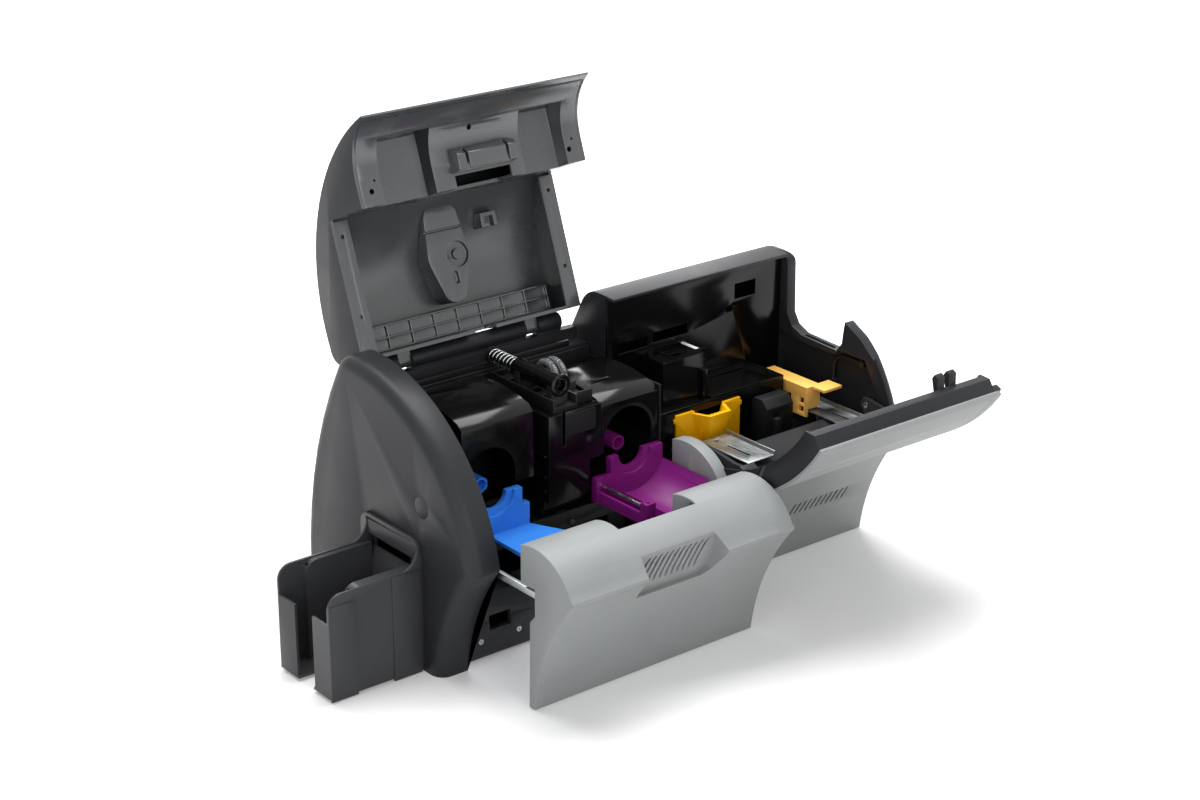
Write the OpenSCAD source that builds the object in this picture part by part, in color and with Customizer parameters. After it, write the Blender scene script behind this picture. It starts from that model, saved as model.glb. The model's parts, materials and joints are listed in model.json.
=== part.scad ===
// ID card printer with a laminator module on its right.
// X runs along the machine from the left end cap, Y runs from front to back, Z is up.
// Both covers stand open and the ribbon drawer is pulled out.

/* [Machine] */
// Width from end cap to end cap
machine_w = 514; // [500:1:640]
// Height of the closed covers above the table
machine_h = 263; // [260:1:320]
// Depth of the base at the table
base_d = 206; // [200:1:260]
// How far the bulge stands out in front
bulge_out = 58; // [55:1:62]
// Height of the bulge
bulge_h = 116; // [112:1:118]
// Radius of the arched covers
arch_r = 182; // [170:1:220]
// Radius of the hollow lower front
hollow_r = 224; // [180:1:280]
// Radius of the rear arch
back_r = 425; // [350:1:520]
// Wall of the moulded shells
wall = 3; // [2:0.5:4]

/* [End caps] */
// Width of the left end cap
cap_left_w = 30; // [26:1:36]
// Width of the right end cap
cap_right_w = 11; // [10:1:14]
// Rounding of the left cap's outer edge
cap_round = 13; // [8:1:14]
// Diameter of the round plug in the left cap
plug_d = 20; // [14:1:24]

/* [Card hopper] */
// Length of the hopper from the cap
hopper_len = 97; // [92:1:120]
// Card width that the hopper takes
card_w = 54; // [50:1:60]
// Height of the hopper's walls
hopper_h = 101; // [80:1:108]
// Height of the hopper's end posts
post_h = 74; // [50:1:88]
// Wall of the hopper
hopper_wall = 2.5; // [2:0.5:3]
// Height of the card slot
slot_z = 99; // [90:1:102]

/* [Printer module] */
// Width of the printer bay between cap and laminator
printer_w = 250; // [246:1:300]
// Diameter of the tunnel round each ribbon roll
roll_d = 56; // [48:1:60]
// Height of the ribbon spindles
spindle_z = 147; // [146:1:148]
// Outer diameter of the ribbon spindles
spindle_d = 15; // [12:1:18]
// Diameter of the spindle shafts
shaft_d = 8; // [6:1:9]
// How far the drawer slides out
drawer_travel = 96; // [80:1:100]
// Width of each ear on the drawer
ear_w = 81; // [70:1:84]
// Number of vent slots in each row
vent_n = 11; // [5:1:13]
// Height of the printer's rear housing
rear_h = 222; // [218:1:224]

/* [Covers] */
// Height of the cover's hinge below the top of the covers
hinge_drop = 33; // [32:1:36]
// Depth of the cover's hinge
hinge_y = 159; // [157:1:162]
// How far the printer cover opens
cover_open = 110; // [80:1:112]
// How far the laminator door opens
door_open = 115; // [60:1:116]
// Diameter of the hinge pins
pin_d = 6; // [4:1:7]
// Number of pockets along the rib strip
pocket_n = 8; // [4:1:10]

/* [Laminator] */
// Depth of the laminator's inner panel
panel_y = 110; // [108:1:114]
// Height of the laminator bed
bed_h = 94; // [80:1:96]
// Height of the deck
deck_h = 155; // [150:1:158]
// Diameter of the white roller
roller_d = 9; // [7:1:10]

/* [Hidden] */
$fn = 48;
clear = 0.3;   // running gap between separate bodies
fit = 0.05;    // radial clearance of a shaft in its bearing

// ---- where things are along the machine
x_bay = cap_left_w + 1;
x_split = cap_left_w + printer_w;
x_cap = machine_w - cap_right_w;
x_blue = x_bay + 52;
x_purple = x_split - 40;
x_tower0 = x_blue + 64;
x_tower1 = x_purple - 33;
x_head = (x_tower0 + x_tower1) / 2 - 9;
rib_w = 13;

// ---- centres of the arcs that make the outline, as [Y, Z]
arch_z = machine_h - arch_r;
arch_c = [-bulge_out + sqrt(pow(arch_r, 2) - pow(bulge_h - arch_z, 2)), arch_z];
back_c = [base_d - sqrt(pow(back_r, 2) - 900), 30];
foot = [-7, 0];
crease = [-bulge_out, bulge_h];
hollow_c = through(foot, crease, hollow_r, 1);
lip = [-bulge_out - 2, bulge_h + 4.5];
ledge_foot = [-bulge_out + 0.5, bulge_h + 6.5];
ear_back = [11, bulge_h + 34];
ledge_r = 55;
ledge_c = through(ledge_foot, ear_back, ledge_r, -1);
// the printer cover has an arc of its own, which comes down outside the drawer's ledge
cov_tip = [-bulge_out - 2.4, bulge_h + 6.8];
cov_crown = [120, on_arch(120, 0)];
cov_c = through(cov_tip, cov_crown, arch_r, -1);
hinge = [hinge_y, machine_h - hinge_drop];
door_hinge = [-24, bulge_h + 25];
door_tip_y = 97;
rim_z = hinge[1] - 18;

// ---- the whole object's middle, so that it stands over its own origin
skin_set = 0.8;   // how far the door's skin lies below the outline of the caps
tip_closed = [door_tip_y, on_arch(door_tip_y, skin_set)];
tip_open = turned(tip_closed, door_hinge, door_open);
arch_open = turned(cov_c, hinge, -cover_open);
x_mid = (machine_w - hopper_len) / 2;
y_mid = (min(tip_open[0], lip[0] - drawer_travel) + max(arch_open[0] + arch_r, back_c[0] + back_r)) / 2;

// ---- plane geometry in [Y, Z]
function arc(c, r, a0, a1, n = 12) = [for (i = [0:n]) c + r * polar(a0 + (a1 - a0) * i / n)];
function polar(a) = [cos(a), sin(a)];
function ang(c, p) = let(a = atan2(p[1] - c[1], p[0] - c[0])) a < -90 ? a + 360 : a;
function ang_at(c, r, z) = asin((z - c[1]) / r);
function on_arch(y, t) = arch_c[1] + sqrt(pow(arch_r - t, 2) - pow(y - arch_c[0], 2));
function on_hollow(z, t) = hollow_c[0] + sqrt(pow(hollow_r + t, 2) - pow(z - hollow_c[1], 2));
function on_back(z, t) = back_c[0] + sqrt(pow(back_r - t, 2) - pow(z - back_c[1], 2));
function arch_ang(y, t) = acos((y - arch_c[0]) / (arch_r - t));
function on_cover(y, t) = cov_c[1] + sqrt(pow(arch_r - t, 2) - pow(y - cov_c[0], 2));
function cover_ang(y, t) = acos((y - cov_c[0]) / (arch_r - t));
function on_ledge(y, t) = ledge_c[1] + sqrt(pow(ledge_r - t, 2) - pow(y - ledge_c[0], 2));
function ledge_ang(y, t) = acos((y - ledge_c[0]) / (ledge_r - t));
function turned(p, c, a) = c + [
  (p - c)[0] * cos(a) - (p - c)[1] * sin(a), (p - c)[0] * sin(a) + (p - c)[1] * cos(a)];
// the point at distance r from p and s from q, on the given side of the line from p to q
function meet(p, r, q, s, side) =
  let(d = norm(q - p), a = (r * r - s * s + d * d) / (2 * d),
      h = sqrt(max(0, r * r - a * a)), u = (q - p) / d)
  p + a * u + side * h * [-u[1], u[0]];
function through(p, q, r, side) = meet(p, r, q, r, side);

// outline of the end caps, set in by t, with its two outer corners rounded
function cap_outline(t) =
  let(e1 = max(26 - t, 1), e2 = max(7 - t, 1), z0 = 0,
      f1 = meet(arch_c, arch_r - t - e1, back_c, back_r - t - e1, -1),
      f2 = meet(arch_c, arch_r - t - e2, hollow_c, hollow_r + t + e2, -1))
  concat(
    arc(back_c, back_r - t, ang_at(back_c, back_r - t, z0), ang(back_c, f1), 8),
    arc(f1, e1, ang(back_c, f1), ang(arch_c, f1), 6),
    arc(arch_c, arch_r - t, ang(arch_c, f1), ang(arch_c, f2), 20),
    arc(f2, e2, ang(arch_c, f2), ang(f2, hollow_c), 5),
    arc(hollow_c, hollow_r + t, ang(hollow_c, f2), ang_at(hollow_c, hollow_r + t, z0), 10));

// a slab along X with the outline pts in [Y, Z]
module slab(x0, x1, pts) translate([x0, 0, 0]) rotate([90, 0, 90]) linear_extrude(x1 - x0) polygon(pts);
module box(x, y, z) translate([x[0], y[0], z[0]]) cube([x[1] - x[0], y[1] - y[0], z[1] - z[0]]);
module along_y(x, z, y0, y1, d) translate([x, y0, z]) rotate([-90, 0, 0]) cylinder(d = d, h = y1 - y0);
module along_x(y, z, x0, x1, d) translate([x0, y, z]) rotate([0, 90, 0]) cylinder(d = d, h = x1 - x0);
module turn_about(c, a) translate([0, c[0], c[1]]) rotate([a, 0, 0]) translate([0, -c[0], -c[1]]) children();
module place() translate([-x_mid, -y_mid, 0]) children();
module cover_pose() turn_about(hinge, -cover_open) children();
module door_pose() turn_about(door_hinge, door_open) children();
module drawer_pose() translate([0, -drawer_travel, 0]) children();

// slab whose outer edge, at x0, is rounded by r, made as a loft of set-in outlines
module rounded_slab(x0, x1, r) {
  steps = 6;
  rings = concat(
    [for (k = [0:steps]) [x0 + r * (1 - cos(90 * k / steps)), r * (1 - sin(90 * k / steps))]], [[x1, 0]]);
  n = len(cap_outline(0));
  last = len(rings) - 1;
  points = [for (g = rings) for (p = cap_outline(g[1])) [g[0], p[0], p[1]]];
  sides = [for (k = [0:last - 1]) for (i = [0:n - 1]) let(j = (i + 1) % n)
    [k * n + i, (k + 1) * n + i, (k + 1) * n + j, k * n + j]];
  polyhedron(points, concat([[for (i = [0:n - 1]) i]], sides, [[for (i = [n - 1:-1:0]) last * n + i]]), 4);
}

// a row of slanted slots, cut in from the front as far as y1
module vent_row(x, z, w, h, y1) {
  step = w / vent_n;
  lean = h * 0.18;
  for (i = [0:vent_n - 1])
    translate([x - w / 2 + step * (i + 0.5), y1, z]) rotate([90, 0, 0]) linear_extrude(y1 + bulge_out + 40)
      polygon([[-step / 5 - lean, -h / 2], [step / 5 - lean, -h / 2], [step / 5 + lean, h / 2], [-step / 5 + lean, h / 2]]);
}

// ---- base
pan_z = 5;
pan_t = 3;
pan_top = pan_z + pan_t;
pan_y0 = 7;
pan_y1 = base_d - 12;

module base_pan() color("#26282A") place() difference() {
  box([x_bay + 1, x_cap - 1], [pan_y0, pan_y1], [pan_z, pan_top + 14]);
  box([x_bay + 4, x_cap - 4], [pan_y0 + 3, pan_y1 - 3], [pan_top, pan_top + 20]);
  for (x = foot_xs(), y = foot_ys()) translate([x, y, 0]) cylinder(d = 5, h = 20);
}
function foot_xs() = [x_bay + 22, x_split + 2, x_cap - 22];
function foot_ys() = [pan_y0 + 14, pan_y1 - 20];

module rubber_feet() color("#1A1A1A") place()
  for (x = foot_xs(), y = foot_ys()) translate([x, y, 0]) {
    cylinder(d1 = 16, d2 = 18, h = pan_z, $fn = 32);
    cylinder(d = 4.6, h = pan_top + 1);
  }

// the dark panel below the drawer, with its finger notch and two screw bosses
panel_z1 = 62;
screw_xs = [x_bay + 20, x_bay + 62];
module base_front_panel() color("#2C2E30") place() difference() {
  union() {
    box([x_bay + 0.5, x_split - 1], [2.5, pan_y0], [2, panel_z1]);
    box([x_bay + 0.5, x_split - 1], [2.5, 25.5], [panel_z1 - 3, panel_z1]);
    box([x_bay + 0.5, x_bay + 76], [1.5, 2.6], [2, 34]);
  }
  box([x_bay + 30, x_bay + 54], [-1, 40], [26, 40]);
  for (x = screw_xs) along_y(x, 18, -1, 20, 3.4);
}
// ---- end caps
plug_at = [14, bulge_h + 42];
card_y = 59.5;       // middle of the card path
hop_y = [card_y - 43.5, card_y + 37.5];
guide_y = [card_y - card_w / 2 - 2, card_y + card_w / 2 + 2];
hop_plate = [hop_y[0], hop_y[1] + 9];
hop_top = slot_z + 27;
function plate_outline(g) = concat([[hop_plate[0] - g, 3 - g], [hop_plate[1] + g, 3 - g]],
  arc([hop_plate[1] - 12, hop_top - 12], 12 + g, 0, 90, 4), arc([hop_plate[0] + 12, hop_top - 12], 12 + g, 90, 180, 4));

module left_end_cap() color("#46484A") place() difference() {
  rounded_slab(0, cap_left_w, cap_round);
  slab(wall, cap_round + 0.5, cap_outline(cap_round + 1));
  slab(cap_round, cap_left_w + 1, cap_outline(wall));
  // seat of the hopper's plate, and the way through for a card
  slab(-1, 1.5, plate_outline(clear));
  box([-1, 10], guide_y, [slot_z - 4, slot_z + 4]);
  translate([-1, plug_at[0], plug_at[1]]) rotate([0, 90, 0]) cylinder(d = plug_d + 0.4, h = 2.5);
  translate([-1, plug_at[0], plug_at[1]]) rotate([0, 90, 0]) cylinder(d = 8, h = 8);
}
module left_cap_plug() color("#404244") place() {
  along_x(plug_at[0], plug_at[1], 0, 1.5, plug_d);
  along_x(plug_at[0], plug_at[1], 1.4, wall + 1.5, 7.9);
}

module right_end_cap() color("#46484A") place() difference() {
  translate([machine_w, 0, 0]) mirror([1, 0, 0]) rounded_slab(0, cap_right_w, 8);
  // the low shelf between the fin and the tall rear part
  slab(x_cap - 1, machine_w + 1, concat(
    [[-40, machine_h + 10], [-27.5, bulge_h + 76], [-26, bulge_h + 68.5], [-6, bulge_h + 85.5], [15.5, bulge_h + 97],
     [17, bulge_h + 90], [19, bulge_h + 74], [26, bulge_h + 65], [76, bulge_h + 67], [90, bulge_h + 73],
     [97, bulge_h + 84], [98, machine_h - 16]],
    arc([110, on_arch(110, 12)], 12, 180, 93.5, 5), [[110, machine_h + 10]]));
  slab(x_cap - 1, x_cap + 6.5, [
    [on_hollow(0, 12), -1], [on_hollow(80, 8), 80], [-42, bulge_h + 10], [-22, bulge_h + 52], [-13, bulge_h + 66],
    [22, bulge_h + 66], [30, bulge_h + 60], [84, bulge_h + 60], [panel_y - 1, bulge_h + 66], [panel_y - 1, -1]]);
  // seat of the front panel's edge
  slab(x_cap - 1, machine_w + 1, concat(
    [[-90, bulge_h + 2], crease + [-2, 1.8], crease + [6, -1.2], crease + [9.1, -4.2]],
    arc(hollow_c, hollow_r + wall + clear, ang_at(hollow_c, hollow_r + wall + clear, bulge_h - 11),
      ang_at(hollow_c, hollow_r + wall + clear, -1), 12), [[-90, -1]]));
  slab(x_cap - 1, machine_w - 8, [
    [panel_y + 3, -1], [panel_y + 3, machine_h - 40], [panel_y + 28, machine_h - 40],
    [on_back(150, 6), 150], [on_back(60, 6), 60], [on_back(0, 6), -1]]);
  box([x_cap + 2, x_cap + 7], [32, 74], [bulge_h + 62.5, bulge_h + 70]);
  along_x(door_hinge[0], door_hinge[1], x_cap - 1, x_cap + 7, pin_d + 0.1);
}

// ---- card hopper, one moulding with its plate
module output_hopper() color("#3A3C3E") place() difference() {
  x0 = -hopper_len;
  x1 = x0 + 25;      // where the guides for the card start
  inner_y = [hop_y[0] + hopper_wall, hop_y[1] - hopper_wall];
  floor_top = 3 + hopper_wall;
  union() {
    slab(-3, 1.2, plate_outline(0));
    difference() {
      union() {
        box([x0, -2.9], hop_y, [3, hopper_h]);
        along_hopper(hop_y) difference() {
          translate([-22, hopper_h - 1]) square([20, hop_top - hopper_h - 3]);
          translate([-22, hopper_h + 18]) circle(r = 18);
        }
        // proud end and proud root of the front wall
        box([x0, x0 + 27], [hop_y[0] - 1.2, hop_y[0] + 1], [1.5, hopper_h - 10]);
        box([-32, -2.9], [hop_y[0] - 1.2, hop_y[0] + 1], [1, hopper_h - 1]);
      }
      box([x0 + hopper_wall, -3.1], inner_y, [floor_top, 200]);
    }
    box([x1, -2.9], [inner_y[0] - 0.1, guide_y[0]], [3, hopper_h - 1]);
    box([x1, -2.9], [guide_y[1], inner_y[1] + 0.1], [3, hopper_h - 1]);
  }
  // the guides are hollow ribs, open below
  box([x1 + hopper_wall, -5], [inner_y[0], guide_y[0] - hopper_wall], [-1, hopper_h - 4]);
  box([x1 + hopper_wall, -5], [guide_y[1] + hopper_wall, inner_y[1]], [-1, hopper_h - 4]);
  // posts lower than the walls, with the thumb slot between them
  box([x0 - 1, x0 + hopper_wall + 0.5], inner_y, [post_h, 200]);
  box([x0 - 1, x0 + hopper_wall + 0.5], [hop_y[0] + 26, hop_y[1] - 27], [floor_top, 200]);
  box([x0 - 1, x0 + 22], [hop_y[0] + 28, hop_y[1] - 29], [-1, floor_top + 1]);
  // rounded upper corners of the walls and of the guides
  along_hopper([hop_y[0] - 5, hop_y[1] + 5]) corner(x0, hopper_h, 14);
  along_hopper([inner_y[0], inner_y[1]]) corner(x1, hopper_h - 1, 12);
  // bevelled mouth that a card comes out of
  along_hopper([card_y - 31.5, card_y + 35.5])
    polygon([[-3.1, slot_z - 15], [-3.1, slot_z + 8.5], [1.3, slot_z + 4.5], [1.3, slot_z - 3.5]]);
}
module along_hopper(ys) translate([0, ys[0], 0]) rotate([90, 0, 0]) mirror([0, 0, 1]) linear_extrude(ys[1] - ys[0])
  children();
// what rounding the upper left corner at [x, z] by r takes away
module corner(x, z, r) difference() {
  translate([x - 1, z - r]) square([r + 1, r + 1]);
  translate([x + r, z - r]) circle(r = r);
}

// ---- rear housings, with a step for the cover's rear wall
step_y = hinge_y - 8;
module printer_rear_housing() color("#3C3E40") place() difference() {
  union() {
    slab(cap_left_w, x_split - 1, housing_outline(0));
    hinge_ears();
  }
  along_x(hinge[0], hinge[1], x_bay, x_split, pin_d + 2 * fit);
  slab(cap_left_w + wall, x_split - 1 - wall, housing_outline(wall));
  for (i = [0:11]) box([x_bay + 30 + 7 * i, x_bay + 33.5 + 7 * i], [pan_y1 - 20, base_d + 5], [120, 175]);
  box([x_split - 70, x_split - 40], [pan_y1 - 20, base_d + 5], [20, 42]);
  box([x_split - 110, x_split - 78], [pan_y1 - 20, base_d + 5], [20, 38]);
}
function housing_outline(t) = concat(
  [[spindle_y + 4 - (t > 0 ? 1 : 0), pan_top + 14.2 + t], [on_back(pan_top + 14.2 + t, t), pan_top + 14.2 + t]],
  arc(back_c, back_r - t, ang_at(back_c, back_r - t, 40), ang_at(back_c, back_r - t, rear_h - 20), 6),
  arc([on_back(rear_h - 20, 0) - 14, rear_h - 14], 14 - t, 20, 90, 4),
  [[step_y + t, rear_h - t]], [[step_y + t, rim_z - 1 - t]], [[spindle_y + 4 - (t > 0 ? 1 : 0), rim_z - 1 - t]]);
module power_inlet() color("#1C1C1E") place() difference() {
  box([x_split - 69.8, x_split - 40.2], [pan_y1, on_back(31, 1)], [20.2, 41.8]);
  box([x_split - 66, x_split - 44], [pan_y1 + 2, base_d + 5], [24, 38]);
}
module data_sockets() color("#8E9294") place() difference() {
  box([x_split - 109.8, x_split - 78.2], [pan_y1, on_back(29, 1)], [20.2, 37.8]);
  box([x_split - 107, x_split - 93], [pan_y1 + 2, base_d + 5], [22, 35]);
  box([x_split - 90, x_split - 81], [pan_y1 + 2, base_d + 5], [23, 34]);
}

lam_x0 = x_split + 1;
function shell_outline(t) =
  let(e = 26 - t, f = meet(arch_c, arch_r - t - e, back_c, back_r - t - e, -1))
  concat([[panel_y, pan_top + 14.2 + t], [on_back(pan_top + 14.2 + t, t), pan_top + 14.2 + t]],
    arc(back_c, back_r - t, ang_at(back_c, back_r - t, 40), ang(back_c, f), 6),
    arc(f, e, ang(back_c, f), ang(arch_c, f), 6),
    arc(arch_c, arch_r - t, ang(arch_c, f), arch_ang(panel_y, t), 6));
module laminator_rear_shell() color("#46484A") place() difference() {
  union() {
    slab(lam_x0, x_cap, shell_outline(0));
    slab(lam_x0, x_cap, arch_band(door_tip_y + 1.5, panel_y + 1, 0, wall));
  }
  slab(lam_x0 + wall, x_cap - wall, shell_outline(wall));
  for (i = [0:8]) box([lam_x0 + 60 + 7 * i, lam_x0 + 63.5 + 7 * i], [pan_y1 - 20, base_d + 5], [110, 160]);
}
// black panel that closes the front of the tall housing
module laminator_inner_panel() color("#151516") place() difference() {
  box([lam_x0, x_cap - 0.5], [panel_y - 2.5, panel_y], [pan_top + 16, on_arch(panel_y - 2.5, wall + 0.1)]);
  box([lam_x0 + 14, lam_x0 + 50], [panel_y - 5, panel_y + 5], [202, 212]);
  box([lam_x0 + 56, lam_x0 + 100], [panel_y - 5, panel_y + 5], [204, 214]);
  box([lam_x0 + 150, lam_x0 + 158], [panel_y - 5, panel_y + 5], [214, 218]);
  // way through for the door's hook
  box([x_cap - 61.5, x_cap - 34.5], [panel_y - 5, panel_y + 5], [225.5, 241]);
}

// ---- laminator front panel with the ear rib and the vent row
vent_x = (x_split + rib_w + x_cap) / 2 + 42;
module laminator_front_panel() color("#A0A3A3") place() difference() {
  union() {
    slab(x_split + rib_w, machine_w - 2, concat(
      hollow_arc(0, 1),
      arc(hollow_c, hollow_r + wall, ang_at(hollow_c, hollow_r + wall, 1),
        ang_at(hollow_c, hollow_r + wall, bulge_h - 10), 12),
      [crease + [8.5, -4.5]], [crease + [5.5, -1.8]]));
    slab(x_split, x_split + rib_w, ledge_outline(0));
  }
  slab(x_split + wall - 0.5, x_split + rib_w - wall, ledge_outline(wall));
  box([x_split + wall - 0.5, x_split + rib_w - wall], [-8, 4], [12, bulge_h - 42]);
  vent_row(vent_x, 54, 76, 12, 0);
  along_x(door_hinge[0], door_hinge[1], x_split + wall, x_split + rib_w + 1, pin_d + 0.1);
}
// side outline that the drawer's front and the ear rib share, set in by t
function ledge_outline(t) = concat(
  [[1 - t, 1 + t]], [[-1 - t, bulge_h - 34]], [[-8 - t, bulge_h - 26]], [[-8 - t, bulge_h - 1 + t]],
  [[ear_back[0] - t, bulge_h - 2 + t]], [[ear_back[0] - t, ear_back[1] - t]],
  arc(ledge_c, ledge_r - t, ang(ledge_c, ear_back), ang(ledge_c, ledge_foot) - (t > 0 ? 3 : 0), 12),
  t > 0 ? [lip + [t + 1.1, -1.3]] : [lip, lip + [0.4, -3.5]], hollow_arc(t, 1 + t));
function hollow_arc(t, z) = arc(hollow_c, hollow_r + t, ang(hollow_c, crease), ang_at(hollow_c, hollow_r + t, z), 12);

// ---- print engine
wall_y = 27;         // front plane of the ribbon hoods
spindle_y = 132;     // front face of the wall that carries the spindles
bay_z = spindle_z + 1;
tunnel_z = spindle_z + 12;
frame_z = 200;
bed_y = [card_y - card_w / 2 - 5.5, card_y + card_w / 2 + 5.5];   // outer faces of the card bed's side walls
path_z = slot_z - 1;
bed_top = path_z + 4.5;
hood_l = [x_blue - 30, x_blue + 48];
hood_r = [x_tower1 + 0.5, x_split - 4.8];

module left_side_frame() color("#202123") place() difference() {
  box([x_bay + 1, x_bay + 3.4], [wall_y - 1, spindle_y], [pan_top + 14, frame_z]);
  box([x_bay, x_bay + 5], [bed_y[0] + 3, bed_y[1] - 3], [path_z - 2, path_z + 5]);
}
module right_side_frame() color("#202123") place() difference() {
  box([x_split - 3.4, x_split - 1], [wall_y - 1, spindle_y], [pan_top + 14, frame_z]);
  box([x_split - 5, x_split], [bed_y[0] + 3, bed_y[1] - 3], [path_z - 2, path_z + 5]);
}
module spindle_wall() color("#1A1B1C") place() difference() {
  box([x_bay + 1, x_split - 1], [spindle_y, spindle_y + 4], [pan_top + 14, 208]);
  for (x = [x_blue, x_purple]) along_y(x, spindle_z, spindle_y - 1, spindle_y + 5, shaft_d + 2 * fit);
  for (x = runner_xs()) box([x - 0.6, x + runner_w + 0.6], [spindle_y - 1, spindle_y + 5], [runner_z - 0.6, runner_z + 6.6]);
}

// arched tunnel for a ribbon roll, open at the bottom
module tunnel(x, y0, y1) {
  along_y(x, tunnel_z, y0, y1, roll_d);
  box([x - roll_d / 2, x + roll_d / 2], [y0, y1], [bay_z - 5, tunnel_z]);
}
module hood(xs, z1, xc) difference() {
  slab(xs[0], xs[1], hood_outline(z1, 0));
  slab(xs[0] + 2, xs[1] - 2, hood_outline(z1, 2.5));
  tunnel(xc, wall_y - 1, wall_y + 6);
}
function hood_outline(z1, t) = concat(
  [[wall_y + t, bay_z - (t > 0 ? 1 : 0)]], [[spindle_y - (t > 0 ? -1 : 0), bay_z - (t > 0 ? 1 : 0)]],
  [[spindle_y - (t > 0 ? -1 : 0), z1 - 8 - t]],
  arc([wall_y + 52, z1 - 160], 168 - t, 80, 106, 7), [[wall_y + t, z1 - 4 - t]]);
module left_ribbon_hood() color("#101112") place() hood(hood_l, 214, x_blue);
module right_ribbon_hood() color("#131415") place() difference() {
  hood(hood_r, frame_z - 1, x_purple);
  box([x_purple - 12, x_purple + 3], [wall_y + 30, wall_y + 33], [frame_z - 10, frame_z + 20]);
}

// tower between the two ribbon bays, which carries the print head
tower_y0 = 25;
module centre_tower() color("#161718") place() difference() {
  union() {
    box([x_tower0, x_tower1], [tower_y0, 128], [bay_z, frame_z]);
    box([x_tower0, x_tower1 - 13], [tower_y0 + 8, 100], [bed_top, bay_z + 1]);
    box([x_tower0, x_tower1 - 13], [tower_y0, 60], [bed_top + 14, bay_z + 1]);
    for (z = [126, 140, 160]) box([x_tower0 - 2, x_tower0 + 1], [tower_y0 + 4, tower_y0 + 40], [z, z + 2]);
  }
  box([x_tower0 + 3, x_tower1 - 16], [tower_y0 + 12, 96], [bed_top - 1, frame_z - 6]);
  box([x_tower1 - 17, x_tower1 - 3], [tower_y0 + 12, 96], [bay_z + 3, frame_z - 6]);
  box([x_tower0 + 15, x_tower0 + 19], [tower_y0 - 1, tower_y0 + 5], [bay_z + 20, frame_z + 1]);
  box([x_tower1 - 11, x_tower1 - 3], [tower_y0 + 8, tower_y0 + 26], [frame_z - 7, frame_z + 1]);
}
module bare_label_plate() color("#2A2B2C") place()
  translate([x_tower1 - 24, tower_y0, frame_z - 12]) rotate([90, 0, 0])
    linear_extrude(0.6) offset(r = 2) square([30, 17], center = true);

// channel that cards run along, with its rollers
module card_bed() color("#1E1F21") place() difference() {
  union() {
    box([x_bay + 5, x_split - 4], bed_y, [path_z - 3, path_z - 1]);
    for (y = [bed_y[0], bed_y[1] - 2.5]) {
      box([x_bay + 5, x_split - 4], [y, y + 2.5], [path_z - 12, bed_top]);
      for (x = [x_bay + 20, x_tower0 - 26, x_tower1 + 10]) box([x, x + 20], [y, y + 2.5], [pan_top, path_z - 11]);
    }
  }
  for (x = roller_xs()) {
    along_y(x, roller_z, bed_y[0] - 1, bed_y[1] + 1, 5 + 2 * fit);
    box([x - 8, x + 8], [bed_y[0] + 2.4, bed_y[1] - 2.4], [path_z - 4, path_z]);
  }
}
roller_r = 7;
roller_z = path_z - roller_r;
function roller_xs() = [x_tower0 - 13, x_head + 6];
module bed_roller(x) {
  along_y(x, roller_z, bed_y[0] + 3, bed_y[1] - 3, 2 * roller_r);
  along_y(x, roller_z, bed_y[0] - 2, bed_y[1] + 2, 5);
}
module feed_roller() color("#B8BBBD") place() bed_roller(roller_xs()[0]);
module platen_roller() color("#3A3A3A") place() bed_roller(roller_xs()[1]);

// print head lift: sleeve, sprung plunger and the bracket below them
plunger_z = frame_z + 23;
sleeve_y = [34, 98];
sleeve_d = 17;
plunger_d = 10;
spring_y = [sleeve_y[1] + 0.3, 136.7];
module head_bracket() color("#121314") place() difference() {
  union() {
    box([x_head - 13, x_head + 15], [tower_y0 + 4, 126], [frame_z, frame_z + 5]);
    for (x = [x_head - 13, x_head + 13]) box([x, x + 2], [tower_y0 + 4, 126], [frame_z, frame_z + 13]);
    for (y = [sleeve_y[0] + 2, sleeve_y[1] - 14]) box([x_head - 9, x_head + 9], [y, y + 8], [frame_z, plunger_z]);
    box([x_head + 14, x_head + 36], [tower_y0 + 9, 60], [frame_z, frame_z + 4]);
    for (y = [tower_y0 + 9, 58]) box([x_head + 14, x_head + 36], [y, y + 2], [frame_z, frame_z + 12]);
  }
  along_y(x_head, plunger_z, sleeve_y[0] - 1, sleeve_y[1] + 1, sleeve_d + 0.06);
  for (y = [52, 72, 104]) box([x_head - 8, x_head + 10], [y, y + 10], [frame_z - 1, frame_z + 6]);
}
module head_sleeve() color("#0E0F10") place() difference() {
  union() {
    along_y(x_head, plunger_z, sleeve_y[0], sleeve_y[1], sleeve_d);
    along_y(x_head, plunger_z, sleeve_y[0], sleeve_y[0] + 1.8, sleeve_d + 4);
  }
  along_y(x_head, plunger_z, sleeve_y[0] - 1, sleeve_y[1] + 1, plunger_d + 2 * fit);
}
module head_plunger() color("#2A2B2D") place() difference() {
  union() {
    along_y(x_head, plunger_z, sleeve_y[0] + 6, spring_y[1] + 0.3, plunger_d);
    along_y(x_head, plunger_z, spring_y[1] + 0.3, spring_y[1] + 2.3, 16);
    along_y(x_head, plunger_z, spring_y[1] + 2.2, spring_y[1] + 7, 6);
  }
  along_y(x_head, plunger_z, sleeve_y[0] + 5, sleeve_y[0] + 20, 5);
}
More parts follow.
